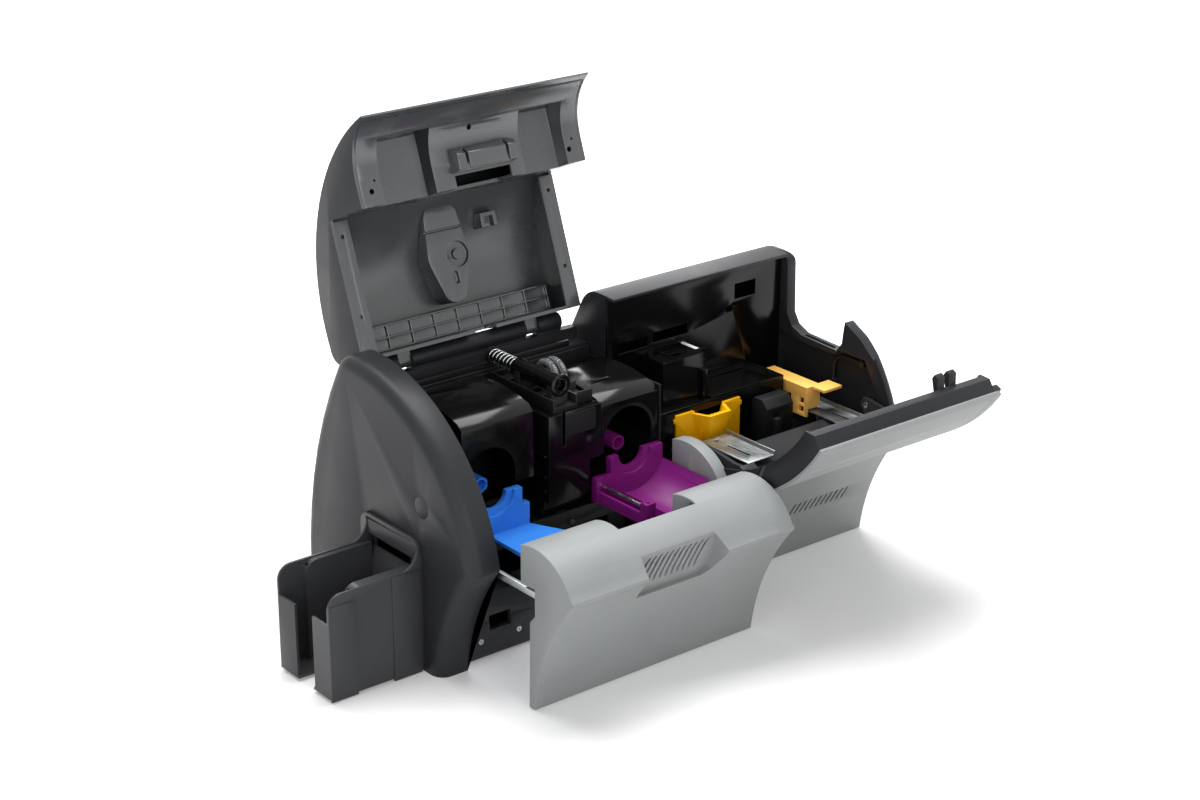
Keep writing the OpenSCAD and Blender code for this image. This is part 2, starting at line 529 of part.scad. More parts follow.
// coil spring swept along its helix, with its ends wound flat
module head_spring() color("#C9CCCE") place() translate([x_head, 0, plunger_z]) {
  turns = 7;
  per = 14;
  sides = 6;
  mean_r = plunger_d / 2 + 1.5;
  wire_r = 0.8;
  n = turns * per;
  y0 = spring_y[0] + wire_r;
  y1 = spring_y[1] - wire_r;
  points = [for (i = [0:n]) let(a = 360 * i / per, u = i / n, y = y0 + (y1 - y0) * u)
    for (k = [0:sides - 1]) let(b = 360 * k / sides, r = mean_r + wire_r * cos(b))
      [r * cos(a), y + wire_r * sin(b), r * sin(a)]];
  walls = [for (i = [0:n - 1]) for (k = [0:sides - 1]) let(m = (k + 1) % sides)
    [i * sides + k, i * sides + m, (i + 1) * sides + m, (i + 1) * sides + k]];
  polyhedron(points, concat([[for (k = [sides - 1:-1:0]) k]], walls, [[for (k = [0:sides - 1]) n * sides + k]]), 4);
}
// two braided leads that arch from the bracket's socket over to the head
module head_cables() color("#6E7072") place() for (x = [x_head + 20, x_head + 29]) {
  translate([x, 80, frame_z + 14]) rotate([90, 0, 90]) rotate_extrude(angle = 180) translate([13, 0]) circle(d = 7);
  for (y = [67, 93]) translate([x, y, frame_z]) cylinder(d = 7, h = 14.01);
}

// ---- ribbon spindles, hollow and splined
module spindle(x) place() difference() {
  union() {
    along_y(x, spindle_z, 41, spindle_y - clear, spindle_d);
    along_y(x, spindle_z, spindle_y - 1, spindle_y + 12, shaft_d);
    along_y(x, spindle_z, spindle_y + 4 + clear, spindle_y + 9, shaft_d + 5);
  }
  along_y(x, spindle_z, 40, 78, spindle_d - 5);
  for (a = [0:60:300]) translate([x, 0, spindle_z]) rotate([0, a, 0])
    box([spindle_d / 2 - 0.8, spindle_d], [40, 62], [-1, 1]);
}
module blue_spindle() color("#2D6ED7") spindle(x_blue);
module purple_spindle() color("#91198C") spindle(x_purple);

// ---- cover hinge
ear_xs = [x_bay + 34, (x_bay + x_split) / 2 - 5, x_split - 46];
deck_y = [spindle_y + 4.3, hinge_y - 15];
module hinge_deck() color("#1B1C1D") place() difference() {
  union() {
    box([x_bay + 24, x_split - 22], deck_y, [rim_z - 1, rim_z + 1]);
    box([x_bay + 24, x_split - 22], [deck_y[0], deck_y[0] + 3], [rim_z - 1, rim_z + 5]);
    for (i = [0:8]) box([x_bay + 33 + 22 * i, x_bay + 35 + 22 * i], [deck_y[0] + 2.9, deck_y[1] - 3], [rim_z + 0.9, rim_z + 4]);
  }
  box([x_head - 12, x_head + 12], [spindle_y, deck_y[0] + 4], [rim_z + 1, rim_z + 10]);
}
module cover_hinge_pin() color("#AEB1B3") place()
  along_x(hinge[0], hinge[1], ear_xs[0] - 17.5, ear_xs[2] + 26.5, pin_d);
// ears of the rear housing that hold the pin
module hinge_ears() for (x = barrel_xs) {
  along_x(hinge[0], hinge[1], x[0], x[1], 2 * barrel_r);
  box(x, [hinge[0] - 6, hinge[0] + barrel_r], [rear_h - 1, hinge[1]]);
}
barrel_r = 8.2;
barrel_xs = [[ear_xs[0] - 18, ear_xs[0] + 10], [ear_xs[0] + 24.4, ear_xs[2] - 14.4], [ear_xs[2], ear_xs[2] + 27]];
knuckle_r = 6;

// ---- printer cover, drawn closed and then opened about its hinge
cov_x = [x_bay, x_split - 1];
cov_back = hinge_y - 9;
nose_y = 17;
under_z = ledge_c[1] + ledge_r + 1.5;
function cover_top(t) = concat(
  arc([cov_back - 14, on_cover(cov_back - 14, 0) - 14], 14 - t, 0, 85, 5),
  arc(cov_c, arch_r - t, cover_ang(cov_back - 14, t), ang(cov_c, cov_tip), 24));
function under_arc(t) = let(r = ledge_r + 1.5 + t)
  arc(ledge_c, r, 180 - ang_at(ledge_c, r, cov_tip[1] + 0.8), 180 - ang_at(ledge_c, r, under_z + t - 1), 10);
function cover_side() = concat(
  [[cov_back, rim_z]], cover_top(0), under_arc(0),
  [[-8, under_z]], [[nose_y, under_z]], [[nose_y + 4, rim_z]]);
function cover_inside(t) = concat(
  [[cov_back - t, bulge_h - 20]], cover_top(t), [[-bulge_out + t + 1, bulge_h - 20]]);
module cover_shell() color("#46484A") place() cover_pose() difference() {
  union() {
    difference() {
      slab(cov_x[0], cov_x[1], cover_side());
      slab(cov_x[0] + wall, cov_x[1] - wall, cover_inside(wall));
    }
    for (x = [[cov_x[0], cov_x[0] + 18], [cov_x[1] - 16, cov_x[1]]])
      box(x, [nose_y + 6, cov_back - 1], [rim_z, rim_z + 2.5]);
    for (x = [[ear_xs[0] + 10.4, ear_xs[0] + 24], [ear_xs[2] - 14, ear_xs[2] - 0.4]]) {
      along_x(hinge[0], hinge[1], x[0], x[1], 2 * knuckle_r);
      box(x, [cov_back - 1, hinge[0]], [hinge[1] - knuckle_r, hinge[1] + knuckle_r]);
    }
  }
  along_x(hinge[0], hinge[1], x_bay, x_split, pin_d + 2 * fit);
  // way through for the end of the head's plunger
  box([x_head - 12, x_head + 12], [cov_back - wall - 1, cov_back + 1], [rim_z - 1, plunger_z + 10]);
  for (x = [cov_x[0] + 9, cov_x[1] - 8], y = [nose_y + 20, cov_back - 40])
    translate([x, y, rim_z - 1]) cylinder(d = 4, h = 5);
}
// underside and back of the nose, with a deep window above each ear of the drawer
windows = [[cov_x[0] + 25, cov_x[0] + ear_w - 1], [cov_x[1] - 69.5, cov_x[1] - 20.5]];
module cover_nose() color("#3B3D3F") place() cover_pose() difference() {
  intersection() {
    slab(cov_x[0] + wall + 0.2, cov_x[1] - wall - 0.2, concat(
      [[nose_y + 4, rim_z + 20]], under_skin(), [[nose_y, under_z]], [[nose_y + 4, rim_z]]));
    slab(cov_x[0], cov_x[1], cover_inside(wall + 0.2));
  }
  difference() {
    slab(cov_x[0] + wall + 2.5, cov_x[1] - wall - 2.5, concat(
      [[nose_y + 1.5, rim_z + 30]], [[-80, rim_z + 30]], [[-80, bulge_h + 12]], under_skin_top(), [[nose_y - 2.5, under_z + 2.5]]));
    for (w = windows) box([w[0] - 2, w[1] + 2], [-44, nose_y + 1], [under_z - 20, under_z + 18]);
  }
  for (w = windows) box(w, [-40, nose_y + 8], [under_z - 30, under_z + 16]);
  for (x = [cov_x[0] + 14, cov_x[1] - 16]) {
    translate([x, 4, under_z - 1]) cylinder(d = 5, h = 5);
    translate([x + 5, -5, under_z - 1]) cylinder(d = 2.5, h = 5);
  }
  translate([(cov_x[0] + cov_x[1]) / 2, -34, under_z - 20]) cylinder(d = 5, h = 30);
  box([latch_x[0] + 2, latch_x[1] - 2], [6, nose_y + 10], [under_z - 1, under_z + 25]);
}
function under_skin() = concat([[-bulge_out, rim_z + 20]], under_arc(0), [[-8, under_z]]);
function under_skin_top() = concat(under_arc(2.5), [[-8, under_z + 2.5]]);

latch_x = [(cov_x[0] + cov_x[1]) / 2 - 24, (cov_x[0] + cov_x[1]) / 2 + 41.5];
module cover_latch_box() color("#3B3D3F") place() cover_pose() difference() {
  slab(latch_x[0], latch_x[1], [
    [-18, under_z - 1.3], [-16, under_z - 10], [-12, under_z - 14], [2, under_z - 14], [4, under_z], [-8, under_z]]);
  slab(latch_x[0] + 2, latch_x[1] - 2, [
    [-15, under_z - 2.5], [-13.5, under_z - 9], [-11, under_z - 12], [6, under_z - 12], [6, under_z - 2.5]]);
  for (x = [latch_x[0] + 9, latch_x[1] - 12]) box([x, x + 3], [-20, nose_y], [under_z - 15, under_z - 5]);
}
// two rows of open pockets beside the hinge
strip_y = [cov_back - 27, cov_back - wall - 0.2];
strip_z = plunger_z + 11;
module cover_rib_strip() color("#343638") place() cover_pose() difference() {
  intersection() {
    box([cov_x[0] + 20, cov_x[1] - 19], strip_y, [strip_z, rim_z + 60]);
    slab(cov_x[0], cov_x[1], cover_inside(wall + 0.2));
  }
  pitch = (cov_x[1] - cov_x[0] - 40) / pocket_n;
  row = (strip_y[1] - strip_y[0] - 1.6) / 2;
  for (i = [0:pocket_n - 1], j = [0:1])
    box([cov_x[0] + 21.2 + pitch * i, cov_x[0] + 20 + pitch * (i + 1) - 0.4],
        [strip_y[0] + 1.6 + j * row, strip_y[0] + j * row + row],
        [strip_z - 1, on_cover(strip_y[1], wall + 16) - 4]);
}
// boat-shaped housing on the inside of the cover, with its presser
dome_x = (cov_x[0] + cov_x[1]) / 2 + 7;
module cover_dome() color("#3F4143") place() cover_pose() difference() {
  intersection() {
    slab(cov_x[0], cov_x[1], cover_inside(wall + 0.2));
    hull() for (p = [[42, 19], [76, 23], [106, 14]])
      translate([dome_x, p[0], plunger_z + 14]) cylinder(r = p[1], h = 60, $fn = 32);
  }
  translate([dome_x + 10, 76, plunger_z + 10]) difference() {
    cylinder(d = 24, h = 8);
    cylinder(d = 10, h = 9);
  }
  box([dome_x - 30, dome_x + 30], [50, 52], [plunger_z + 13, plunger_z + 17]);
  hull() for (y = [94, 100]) translate([dome_x + 3, y, plunger_z + 10]) cylinder(d = 6, h = 8);
}
module cover_clip() color("#232425") place() cover_pose() {
  x = cov_x[1] - 66;
  z = on_cover(44, wall) - 5;
  difference() {
    intersection() {
      box([x - 9, x + 9], [44, 58], [z - 5, z + 20]);
      slab(cov_x[0], cov_x[1], cover_inside(wall + 0.2));
    }
    box([x - 5, x + 5], [48, 60], [z - 6, z + 2]);
  }
}

// ---- ribbon drawer, drawn closed and then pulled out
drw_x = [x_bay, x_split - 1];
pull_x = (drw_x[0] + drw_x[1]) / 2;
pull_z = [bulge_h - 21, bulge_h + 19];
module drawer_front() color("#A0A3A3") place() drawer_pose() difference() {
  union() {
    difference() {
      slab(drw_x[0], drw_x[1], ledge_outline(0));
      box([drw_x[0] + ear_w, drw_x[1] - ear_w], [-20, 20], [bulge_h - 24, bulge_h + 50]);
      // hollow inside, open to the back below the step
      slab(drw_x[0] + wall, drw_x[1] - wall, concat(
        [[20, 12]], [[20, bulge_h - 38]], [[-12, bulge_h - 30]],
        arc(ledge_c, ledge_r - wall, ang(ledge_c, [-12, 153]), ang(ledge_c, ledge_foot) - 8, 8),
        [lip + [7, -6.5]],
        arc(hollow_c, hollow_r + wall, ang(hollow_c, crease) - 2, ang_at(hollow_c, hollow_r + wall, 12), 8)));
      for (x = [[drw_x[0] + wall, drw_x[0] + ear_w - wall], [drw_x[1] - ear_w + wall, drw_x[1] - wall]])
        box(x, [-13, ear_back[0] - wall], [bulge_h + 2, ear_back[1] - wall]);
    }
    // block that the finger pull is sunk into
    intersection() {
      slab(pull_x - 45, pull_x + 50, [[-60, bulge_h - 25], [-60, bulge_h + 23], [-45, bulge_h + 23.5],
        [-34, bulge_h - 7], [-33, bulge_h - 25]]);
      slab(drw_x[0], drw_x[1], ledge_outline(0.5));
    }
  }
  intersection() {
    slab(pull_x - 50, pull_x + 50, [[-49.5, pull_z[1] + 3.5], [-42, pull_z[1] - 11], [-37, pull_z[0] + 13],
      [-36, pull_z[0]], [-80, pull_z[0]], [-80, pull_z[1] + 3.5]]);
    translate([pull_x, 0, pull_z[0]]) rotate([90, 0, 0]) linear_extrude(90)
      polygon([[-42, 0], [31, 0], [41, 5], [47, 17], [47, 26], [39.5, 41], [-42, 41]]);
  }
  vent_row(pull_x, pull_z[0] + 21, 72, 27, -30);
}
runner_w = 4;
runner_z = bed_top + 1.5;
function runner_xs() = [x_bay + 3.8, x_split - 4.5 - runner_w];
module drawer_runners() color("#8F9496") place() drawer_pose()
  for (x = runner_xs()) box([x, x + runner_w], [-8, 166], [runner_z, runner_z + 6]);

// tray with an upright cradle at its back for the end of a ribbon roll
cradle_y = [116, 124];
floor_z = spindle_z - 24;
block_top = spindle_z - spindle_d / 2 - 0.8;   // passes below the spindle
tray_y = ear_back[0] + 0.1;
// the cover's tip comes down just behind the block, also while the drawer is out
tip_way = [cov_tip[0] + drawer_travel - 1, turned(cov_tip, hinge, -4.2)[0] + drawer_travel - 1];
tray_floor = floor_z - 1;
module tray(xs, xc, spikes, block) difference() {
  union() {
    box([xs[0], xs[1]], cradle_y, [runner_z + 0.5, floor_z + 5]);
    box(spikes, cradle_y, [floor_z, spindle_z - 2.5]);
    children();
    slab(block[0], block[1], [[tray_y, tray_floor - 1], [tip_way[0], tray_floor - 1], [tip_way[0], tray_floor + 1],
      [tip_way[1], block_top], [tray_y, block_top]]);
  }
  along_y(xc, spindle_z - 2, cradle_y[0] - 1, cradle_y[1] + 1, 29);
  along_y(xc, spindle_z - 2, cradle_y[0] - 1, cradle_y[0] + 3, 42);
  for (x = runner_xs()) box([x - 0.2, x + runner_w + 0.2], [0, 130], [runner_z - 1, runner_z + 6]);
  box(block + [4, -7], [tray_y + 3, tip_way[1] - 3], [runner_z - 2, block_top - 3]);
}
blue_x = [drw_x[0] + 3.6, x_blue + 38];
purple_x = [x_purple - 42, drw_x[1] - 3];
module blue_tray() color("#2D6ED7") place() drawer_pose()
  tray(blue_x, x_blue, [x_blue - 24, x_blue + 30], [x_blue - 26, x_blue + 35]) intersection() {
    slab(blue_x[0], blue_x[1], [[tray_y, floor_z - 5], [50, floor_z - 5], [cradle_y[0] + 1, runner_z - 0.3],
      [cradle_y[0] + 1, runner_z + 3], [50, tray_floor], [tray_y, tray_floor]]);
    linear_extrude(200) polygon([[x_blue - 6, cradle_y[0] + 1], [blue_x[1], cradle_y[0] + 1], [blue_x[1], tray_y],
      [x_blue - 26, tray_y], [x_blue - 26, 50]]);
  }
post_y = [47, 56];
module purple_tray() color("#91198C") place() drawer_pose() difference() {
  union() {
    tray(purple_x, x_purple, [x_purple - 25, purple_x[1]], [x_purple - 21, purple_x[1]]) difference() {
      slab(purple_x[0] + 11, purple_x[1], [[tray_y, runner_z - 0.3], [cradle_y[0] + 1, runner_z - 0.3],
        [cradle_y[0] + 1, floor_z + 7], [52, floor_z + 7], [48, tray_floor], [tray_y, tray_floor]]);
      along_y(x_purple, spindle_z - 2, tray_y - 1, cradle_y[0], 78);
    }
    box([purple_x[0] + 1, purple_x[0] + 12], post_y, [runner_z + 1, floor_z + 3]);
    box([purple_x[0] + 1, purple_x[0] + 4], [post_y[1] - 1, cradle_y[0] + 1], [runner_z + 1, floor_z - 7]);
    box([purple_x[0] + 1, purple_x[0] + 12], [post_y[1] - 1, cradle_y[0] + 1], [runner_z + 1, runner_z + 3]);
  }
  along_y(purple_x[0] + 6.5, floor_z - 3, post_y[0] + 2, cradle_y[0] + 5, 4);
  translate([purple_x[0] + 6.5, (post_y[0] + post_y[1]) / 2, floor_z]) cylinder(d = 3.4, h = 10);
}
module tray_rod() color("#C4C7C9") place() drawer_pose()
  along_y(purple_x[0] + 6.5, floor_z - 3, post_y[0] + 2.1, cradle_y[0] + 4.9, 3.9);

// ---- laminator
bed_x = [x_split + rib_w + 1.5, x_cap - 1.5];
deck_x = [bed_x[0] + 6, x_cap - 43];
deck_y0 = 54;
rail_z = bulge_h + 11;
module laminator_bed() color("#1D1E20") place() difference() {
  union() {
    box(bed_x, [-30, panel_y - 3], [bed_h - 3, bed_h]);
    box([bed_x[0] + 4, bed_x[1] - 4], [12, 103], [pan_top, bed_h - 2]);
  }
  box([bed_x[0] + 7, bed_x[1] - 7], [15, 100], [pan_top - 1, bed_h - 3]);
  box([deck_x[1] + 4, bed_x[1] - 8], [-22, 11], [bed_h - 4, bed_h + 1]);
}
module rail(x, y1) difference() {
  union() {
    box(x, [-36, y1], [rail_z - 1.5, rail_z]);
    box([x[1] - 1.5, x[1]], [-36, y1], [rail_z - 1.5, rail_z + 4]);
    for (y = [13, y1 - 1.5]) box(x, [y, y + 1.5], [bed_h, rail_z - 1]);
  }
  box([x[0] + 13, x[0] + 15.5], [-22, 10], [rail_z - 3, rail_z + 1]);
  translate([x[0] + 13, 24, rail_z - 3]) cylinder(d = 4, h = 6);
}
module left_rail() color("#8D9192") place() rail([bed_x[0] + 38.5, bed_x[0] + 72.5], 32);
module right_rail() color("#8D9192") place() rail([bed_x[1] - 34, bed_x[1] - 6.4], 44);
module deck_block() color("#191A1B") place() difference() {
  box(deck_x, [deck_y0, panel_y - 3], [bed_h, deck_h]);
  box([deck_x[0] + 3, deck_x[1] - 3], [deck_y0 + 3, panel_y - 6], [bed_h - 1, deck_h - 3]);
  box([yellow_x[0] + 10, yellow_x[1] - 10], [deck_y0 - 1, deck_y0 + 4], [bed_h + 24, deck_h - 8]);
  along_x(lever_axis[0], lever_axis[1], deck_x[1] - 4, deck_x[1] + 1, 5.04);
}
module deck_plate() color("#0F1011") place() difference() {
  box([top_x[1] + 1, deck_x[1]], [deck_y0, panel_y - 3], [deck_h, deck_h + 2.5]);
  translate([deck_x[1] - 8, deck_y0 + 6, deck_h - 1]) cylinder(d = 4, h = 5);
  box([top_x[1] + 30, deck_x[1] - 20], [panel_y - 18, panel_y - 14], [deck_h - 1, deck_h + 4]);
}
top_x = [deck_x[0] + 14, deck_x[0] + 64];
top_z = deck_h + 45;
module top_block() color("#1C1D1E") place() difference() {
  union() {
    box(top_x, [deck_y0 + 11, panel_y - 3], [deck_h, top_z]);
    for (y = [deck_y0 + 20, panel_y - 6]) box([top_x[1] - 1, top_x[1] + 12], [y, y + 3], [top_z - 14, top_z]);
    box([top_x[1] - 5, top_x[1] + 0.8], [deck_y0 + 5, deck_y0 + 12], [deck_h, deck_h + 30]);
  }
  box([top_x[0] + 2.5, top_x[1] - 2.5], [deck_y0 + 14, panel_y - 5.5], [deck_h - 1, top_z - 2.5]);
  for (y = [deck_y0 + 24, deck_y0 + 40]) hull() for (d = [-4, 4])
    translate([top_x[0] + 26 + d, y, top_z - 4]) cylinder(d = 5, h = 6, $fn = 32);
  along_y(top_x[1] + 6.5, top_z - 6, deck_y0 + 19, panel_y, 4 + 2 * fit);
}
module white_roller() color("#E6E8E8") place() {
  along_y(top_x[1] + 6.5, top_z - 6, deck_y0 + 23 + clear, panel_y - 6 - clear, roller_d);
  along_y(top_x[1] + 6.5, top_z - 6, deck_y0 + 20.5, panel_y - 3.5, 4);
}

// lift-out tray with a funnel in the middle
motor_x = [deck_x[1] - 42.5, deck_x[1] - 8];
yellow_x = [deck_x[0] + 19, motor_x[0] - 17];
yellow_z = [bed_h + 14, bed_h + 56];
module yellow_tray() color("#FABE00") place() {
  xc = (yellow_x[0] + yellow_x[1]) / 2;
  y1 = deck_y0 - clear;
  difference() {
    union() {
      box(yellow_x, [y1 - 2.5, y1], yellow_z);
      funnel(xc, y1, 22, 20, 9, 10, 0);
      for (x = yellow_x) box([x - 2, x + 2], [y1 - 2.5, y1], [yellow_z[1] - 8, yellow_z[1] - 4]);
    }
    funnel(xc, y1, 20, 18, 7, 8, 2);
  }
  for (i = [-3:3]) box([xc + i * 4.5 - 0.6, xc + i * 4.5 + 0.6], [y1 - 9, y1 - 1.2], [yellow_z[0] + 8, yellow_z[1] - 9]);
}
module funnel(xc, y1, w1, d1, w0, d0, up) hull() {
  translate([xc, y1 + up, yellow_z[1] - 2 + up]) linear_extrude(0.1 + up)
    polygon([[-w1, 0], [-w1 * 0.6, -d1], [w1 * 0.6, -d1], [w1, 0]]);
  translate([xc, y1 + up, yellow_z[0] + up]) linear_extrude(0.1)
    polygon([[-w0, 0], [-w0 * 0.6, -d0], [w0 * 0.6, -d0], [w0, 0]]);
}

lever_axis = [86, deck_h - 8];
lever_x = [deck_x[1] + 3, deck_x[1] + 21];
module orange_lever() color("#FAAF46") place() difference() {
  union() {
    box(lever_x, [26, lever_axis[0] + 4], [deck_h - 6, deck_h - 3]);
    box([lever_x[0], lever_x[0] + 3], [24, lever_axis[0]], [deck_h - 15, deck_h - 3]);
    box([lever_x[0], lever_x[0] + 3], [24, 46], [deck_h - 34, deck_h - 3]);
    box(lever_x, [24, 27], [deck_h - 26, deck_h - 3]);
    box([lever_x[0], lever_x[1] + 14], [8, 27], [deck_h - 6, deck_h - 3]);
    along_x(lever_axis[0], lever_axis[1], lever_x[0], lever_x[1], 10);
  }
  box([lever_x[0] - 1, lever_x[0] + 8], [0, 24], [deck_h - 7, deck_h]);
  along_x(lever_axis[0], lever_axis[1], lever_x[0] - 1, lever_x[1] + 1, 5 + 2 * fit);
  for (z = [deck_h - 30, deck_h - 21]) box([lever_x[0] - 1, lever_x[0] + 4], [28, 34], [z, z + 6]);
}
module lever_pin() color("#B5B8BA") place() {
  along_x(lever_axis[0], lever_axis[1], deck_x[1] - 2.5, lever_x[1] + 0.4, 5);
  along_x(lever_axis[0], lever_axis[1], lever_x[1] + 0.4, lever_x[1] + 2, 8);
}
module motor_block() color("#17181A") place() {
  difference() {
    slab(motor_x[0], motor_x[1], [[31, bed_h], [deck_y0 - 0.5, bed_h], [deck_y0 - 0.5, bed_h + 48],
      [50, bed_h + 52], [38, bed_h + 52], [31, bed_h + 44]]);
    along_y(motor_x[0] + 12, bed_h + 34, 30, 34, 8);
  }
  box([motor_x[0] + 8, motor_x[0] + 15], [26, 32], [bed_h, bed_h + 34]);
}
module motor_bracket() color("#D5D8DA") place() {
  box([motor_x[1], motor_x[1] + 1.5], [33, 45], [bed_h + 8, bed_h + 36]);
  box([motor_x[1], motor_x[1] + 8], [33, 45], [bed_h + 6, bed_h + 8]);
  along_x(39, bed_h + 26, motor_x[1], motor_x[1] + 4, 5);
}
// lead inside the right cap, from its clip over to a screw
cable_at = [17.5, bulge_h + 46];
module sensor_cable() color("#1A1A1A") place() translate([x_cap + 3.5, cable_at[0], cable_at[1]]) {
  rotate([90, 0, 90]) rotate_extrude(angle = 90) translate([14, 0]) circle(d = 3.6);
  translate([0, 14, -17]) cylinder(d = 3.6, h = 17.01);
  along_y(0, 14, -28, 0.01, 3.6);
  for (at = [[-26, 14], [14, -15]]) along_x(at[0], at[1], -3, 3, 7);
}

// ---- laminator door, drawn closed and then opened about its hinge
door_x = [x_split + 1.5, x_cap - 1];
over_rib_y = -18;
function arch_band(y0, y1, t0, t1) = concat(
  arc(arch_c, arch_r - t0, arch_ang(y1, t0), arch_ang(y0, t0), 20),
  arc(arch_c, arch_r - t1, arch_ang(y0, t0), arch_ang(y1, t0), 20));
door_low_y = arch_c[0] - sqrt(pow(arch_r - skin_set, 2) - pow(bulge_h + 5 - arch_z, 2));
module door_skin() color("#7D8081") place() door_pose() {
  slab(x_split + rib_w + 1, door_x[1], arch_band(door_low_y, door_tip_y, skin_set, wall));
  slab(door_x[0], x_split + rib_w + 1.1, arch_band(over_rib_y, door_tip_y, skin_set, wall));
  difference() {
    slab(door_x[1] - 0.1, machine_w - 1.5, arch_band(-4, door_tip_y, skin_set, wall));
    translate([machine_w - 10.5, door_tip_y - 9, 200]) difference() {
      cube([20, 20, 100]);
      cylinder(r = 9, h = 100);
    }
  }
}
rim_in = [door_tip_y + 6.5, on_arch(door_tip_y, 0) - 14];
rim_lo = rim_in + [-3, 1];
liner = wall + 1.9;
rim_hi = [door_tip_y - 3.5, on_arch(door_tip_y - 3.5, liner)];
module door_frame() color("#3E4042") place() door_pose() difference() {
  union() {
    difference() {
      slab(door_x[0] + 0.3, door_x[1] - 0.3, concat(
        arc(arch_c, arch_r - wall - 0.1, arch_ang(door_tip_y, wall + 0.1), arch_ang(over_rib_y, wall + 0.1), 16),
        arc(arch_c, arch_r - 25, arch_ang(over_rib_y + 10, 25), arch_ang(rim_in[0] - 4, 25), 10), [rim_in]));
      slab(door_x[0] + 2.8, door_x[1] - 2.8, concat(
        arc(arch_c, arch_r - liner, arch_ang(rim_hi[0], liner), arch_ang(over_rib_y - 12, liner), 16),
        [[-60, 120]], [rim_lo - [0, 30]], [rim_lo]));
    }
    slab(x_split + rib_w + 1.3, door_x[1] - 0.3, arch_band(door_low_y + 2.6, over_rib_y + 1, wall + 0.1, liner));
    for (x = [x_split + rib_w + 3, door_x[1] - 6]) slab(x, x + 4, concat([
      [-31, bulge_h + 25], [-28, bulge_h + 18.5], [-20, bulge_h + 18.5], [-17, bulge_h + 25], [-8, bulge_h + 54],
      [6, bulge_h + 80]], arc(arch_c, arch_r - wall - 1, arch_ang(4, wall + 1), arch_ang(-42, wall + 1), 6)));
    box([door_x[0] + 2, x_split + rib_w + 7], [-4, 8], [bulge_h + 70, bulge_h + 80]);
    box([door_x[1] - 1, machine_w - 3], [door_tip_y - 3, door_tip_y], [bulge_h + 135, on_arch(door_tip_y - 3, wall + 0.2)]);
  }
  along_x(door_hinge[0], door_hinge[1], x_split, x_cap, pin_d + 2 * fit);
  box([door_x[0] - 1, door_x[0] + 4], [14, 40], [on_arch(14, 16), on_arch(14, 16) + 5]);
}
module door_latch_hook() color("#3A3C3E") place() door_pose() difference() {
  x = x_cap - 60;
  slab(x, x + 24, [rim_hi - [0, 0.15], rim_lo, rim_lo - [0, 10], [panel_y, rim_in[1] - 13.5], [panel_y + 0.3, rim_in[1] - 18.5],
    [panel_y - 5, rim_in[1] - 19.5], [panel_y - 18, rim_in[1] - 9.5], [panel_y - 24, rim_in[1] - 1.5],
    [panel_y - 24, on_arch(panel_y - 24, liner + 0.15)]]);
  box([x + 9, x + 15], [panel_y - 16, panel_y + 2], [rim_in[1] - 25, rim_in[1] - 9]);
}
module door_hinge_pins() color("#B5B8BA") place() {
  along_x(door_hinge[0], door_hinge[1], x_split + 4, x_split + rib_w + 7.5, pin_d);
  along_x(door_hinge[0], door_hinge[1], door_x[1] - 6.5, x_cap + 5, pin_d);
}

base_pan();
base_front_panel();
rubber_feet();
left_end_cap();
left_cap_plug();
output_hopper();
right_end_cap();
printer_rear_housing();
power_inlet();
data_sockets();
laminator_rear_shell();
laminator_inner_panel();
laminator_front_panel();
left_side_frame();
right_side_frame();
spindle_wall();
left_ribbon_hood();
right_ribbon_hood();
centre_tower();
bare_label_plate();
card_bed();
head_bracket();
head_sleeve();
head_plunger();
head_spring();
head_cables();
blue_spindle();
purple_spindle();
platen_roller();
feed_roller();
hinge_deck();
cover_hinge_pin();
cover_shell();
cover_nose();
cover_latch_box();
cover_rib_strip();
cover_dome();
cover_clip();
drawer_front();
drawer_runners();
blue_tray();
purple_tray();
tray_rod();
laminator_bed();
left_rail();
right_rail();
deck_block();
deck_plate();
top_block();
white_roller();
yellow_tray();
orange_lever();
lever_pin();
motor_block();
motor_bracket();
sensor_cable();
door_skin();
door_frame();
door_latch_hook();
door_hinge_pins();
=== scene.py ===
"""Studio scene of an ID card printer with a laminator module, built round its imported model."""
import json
import math

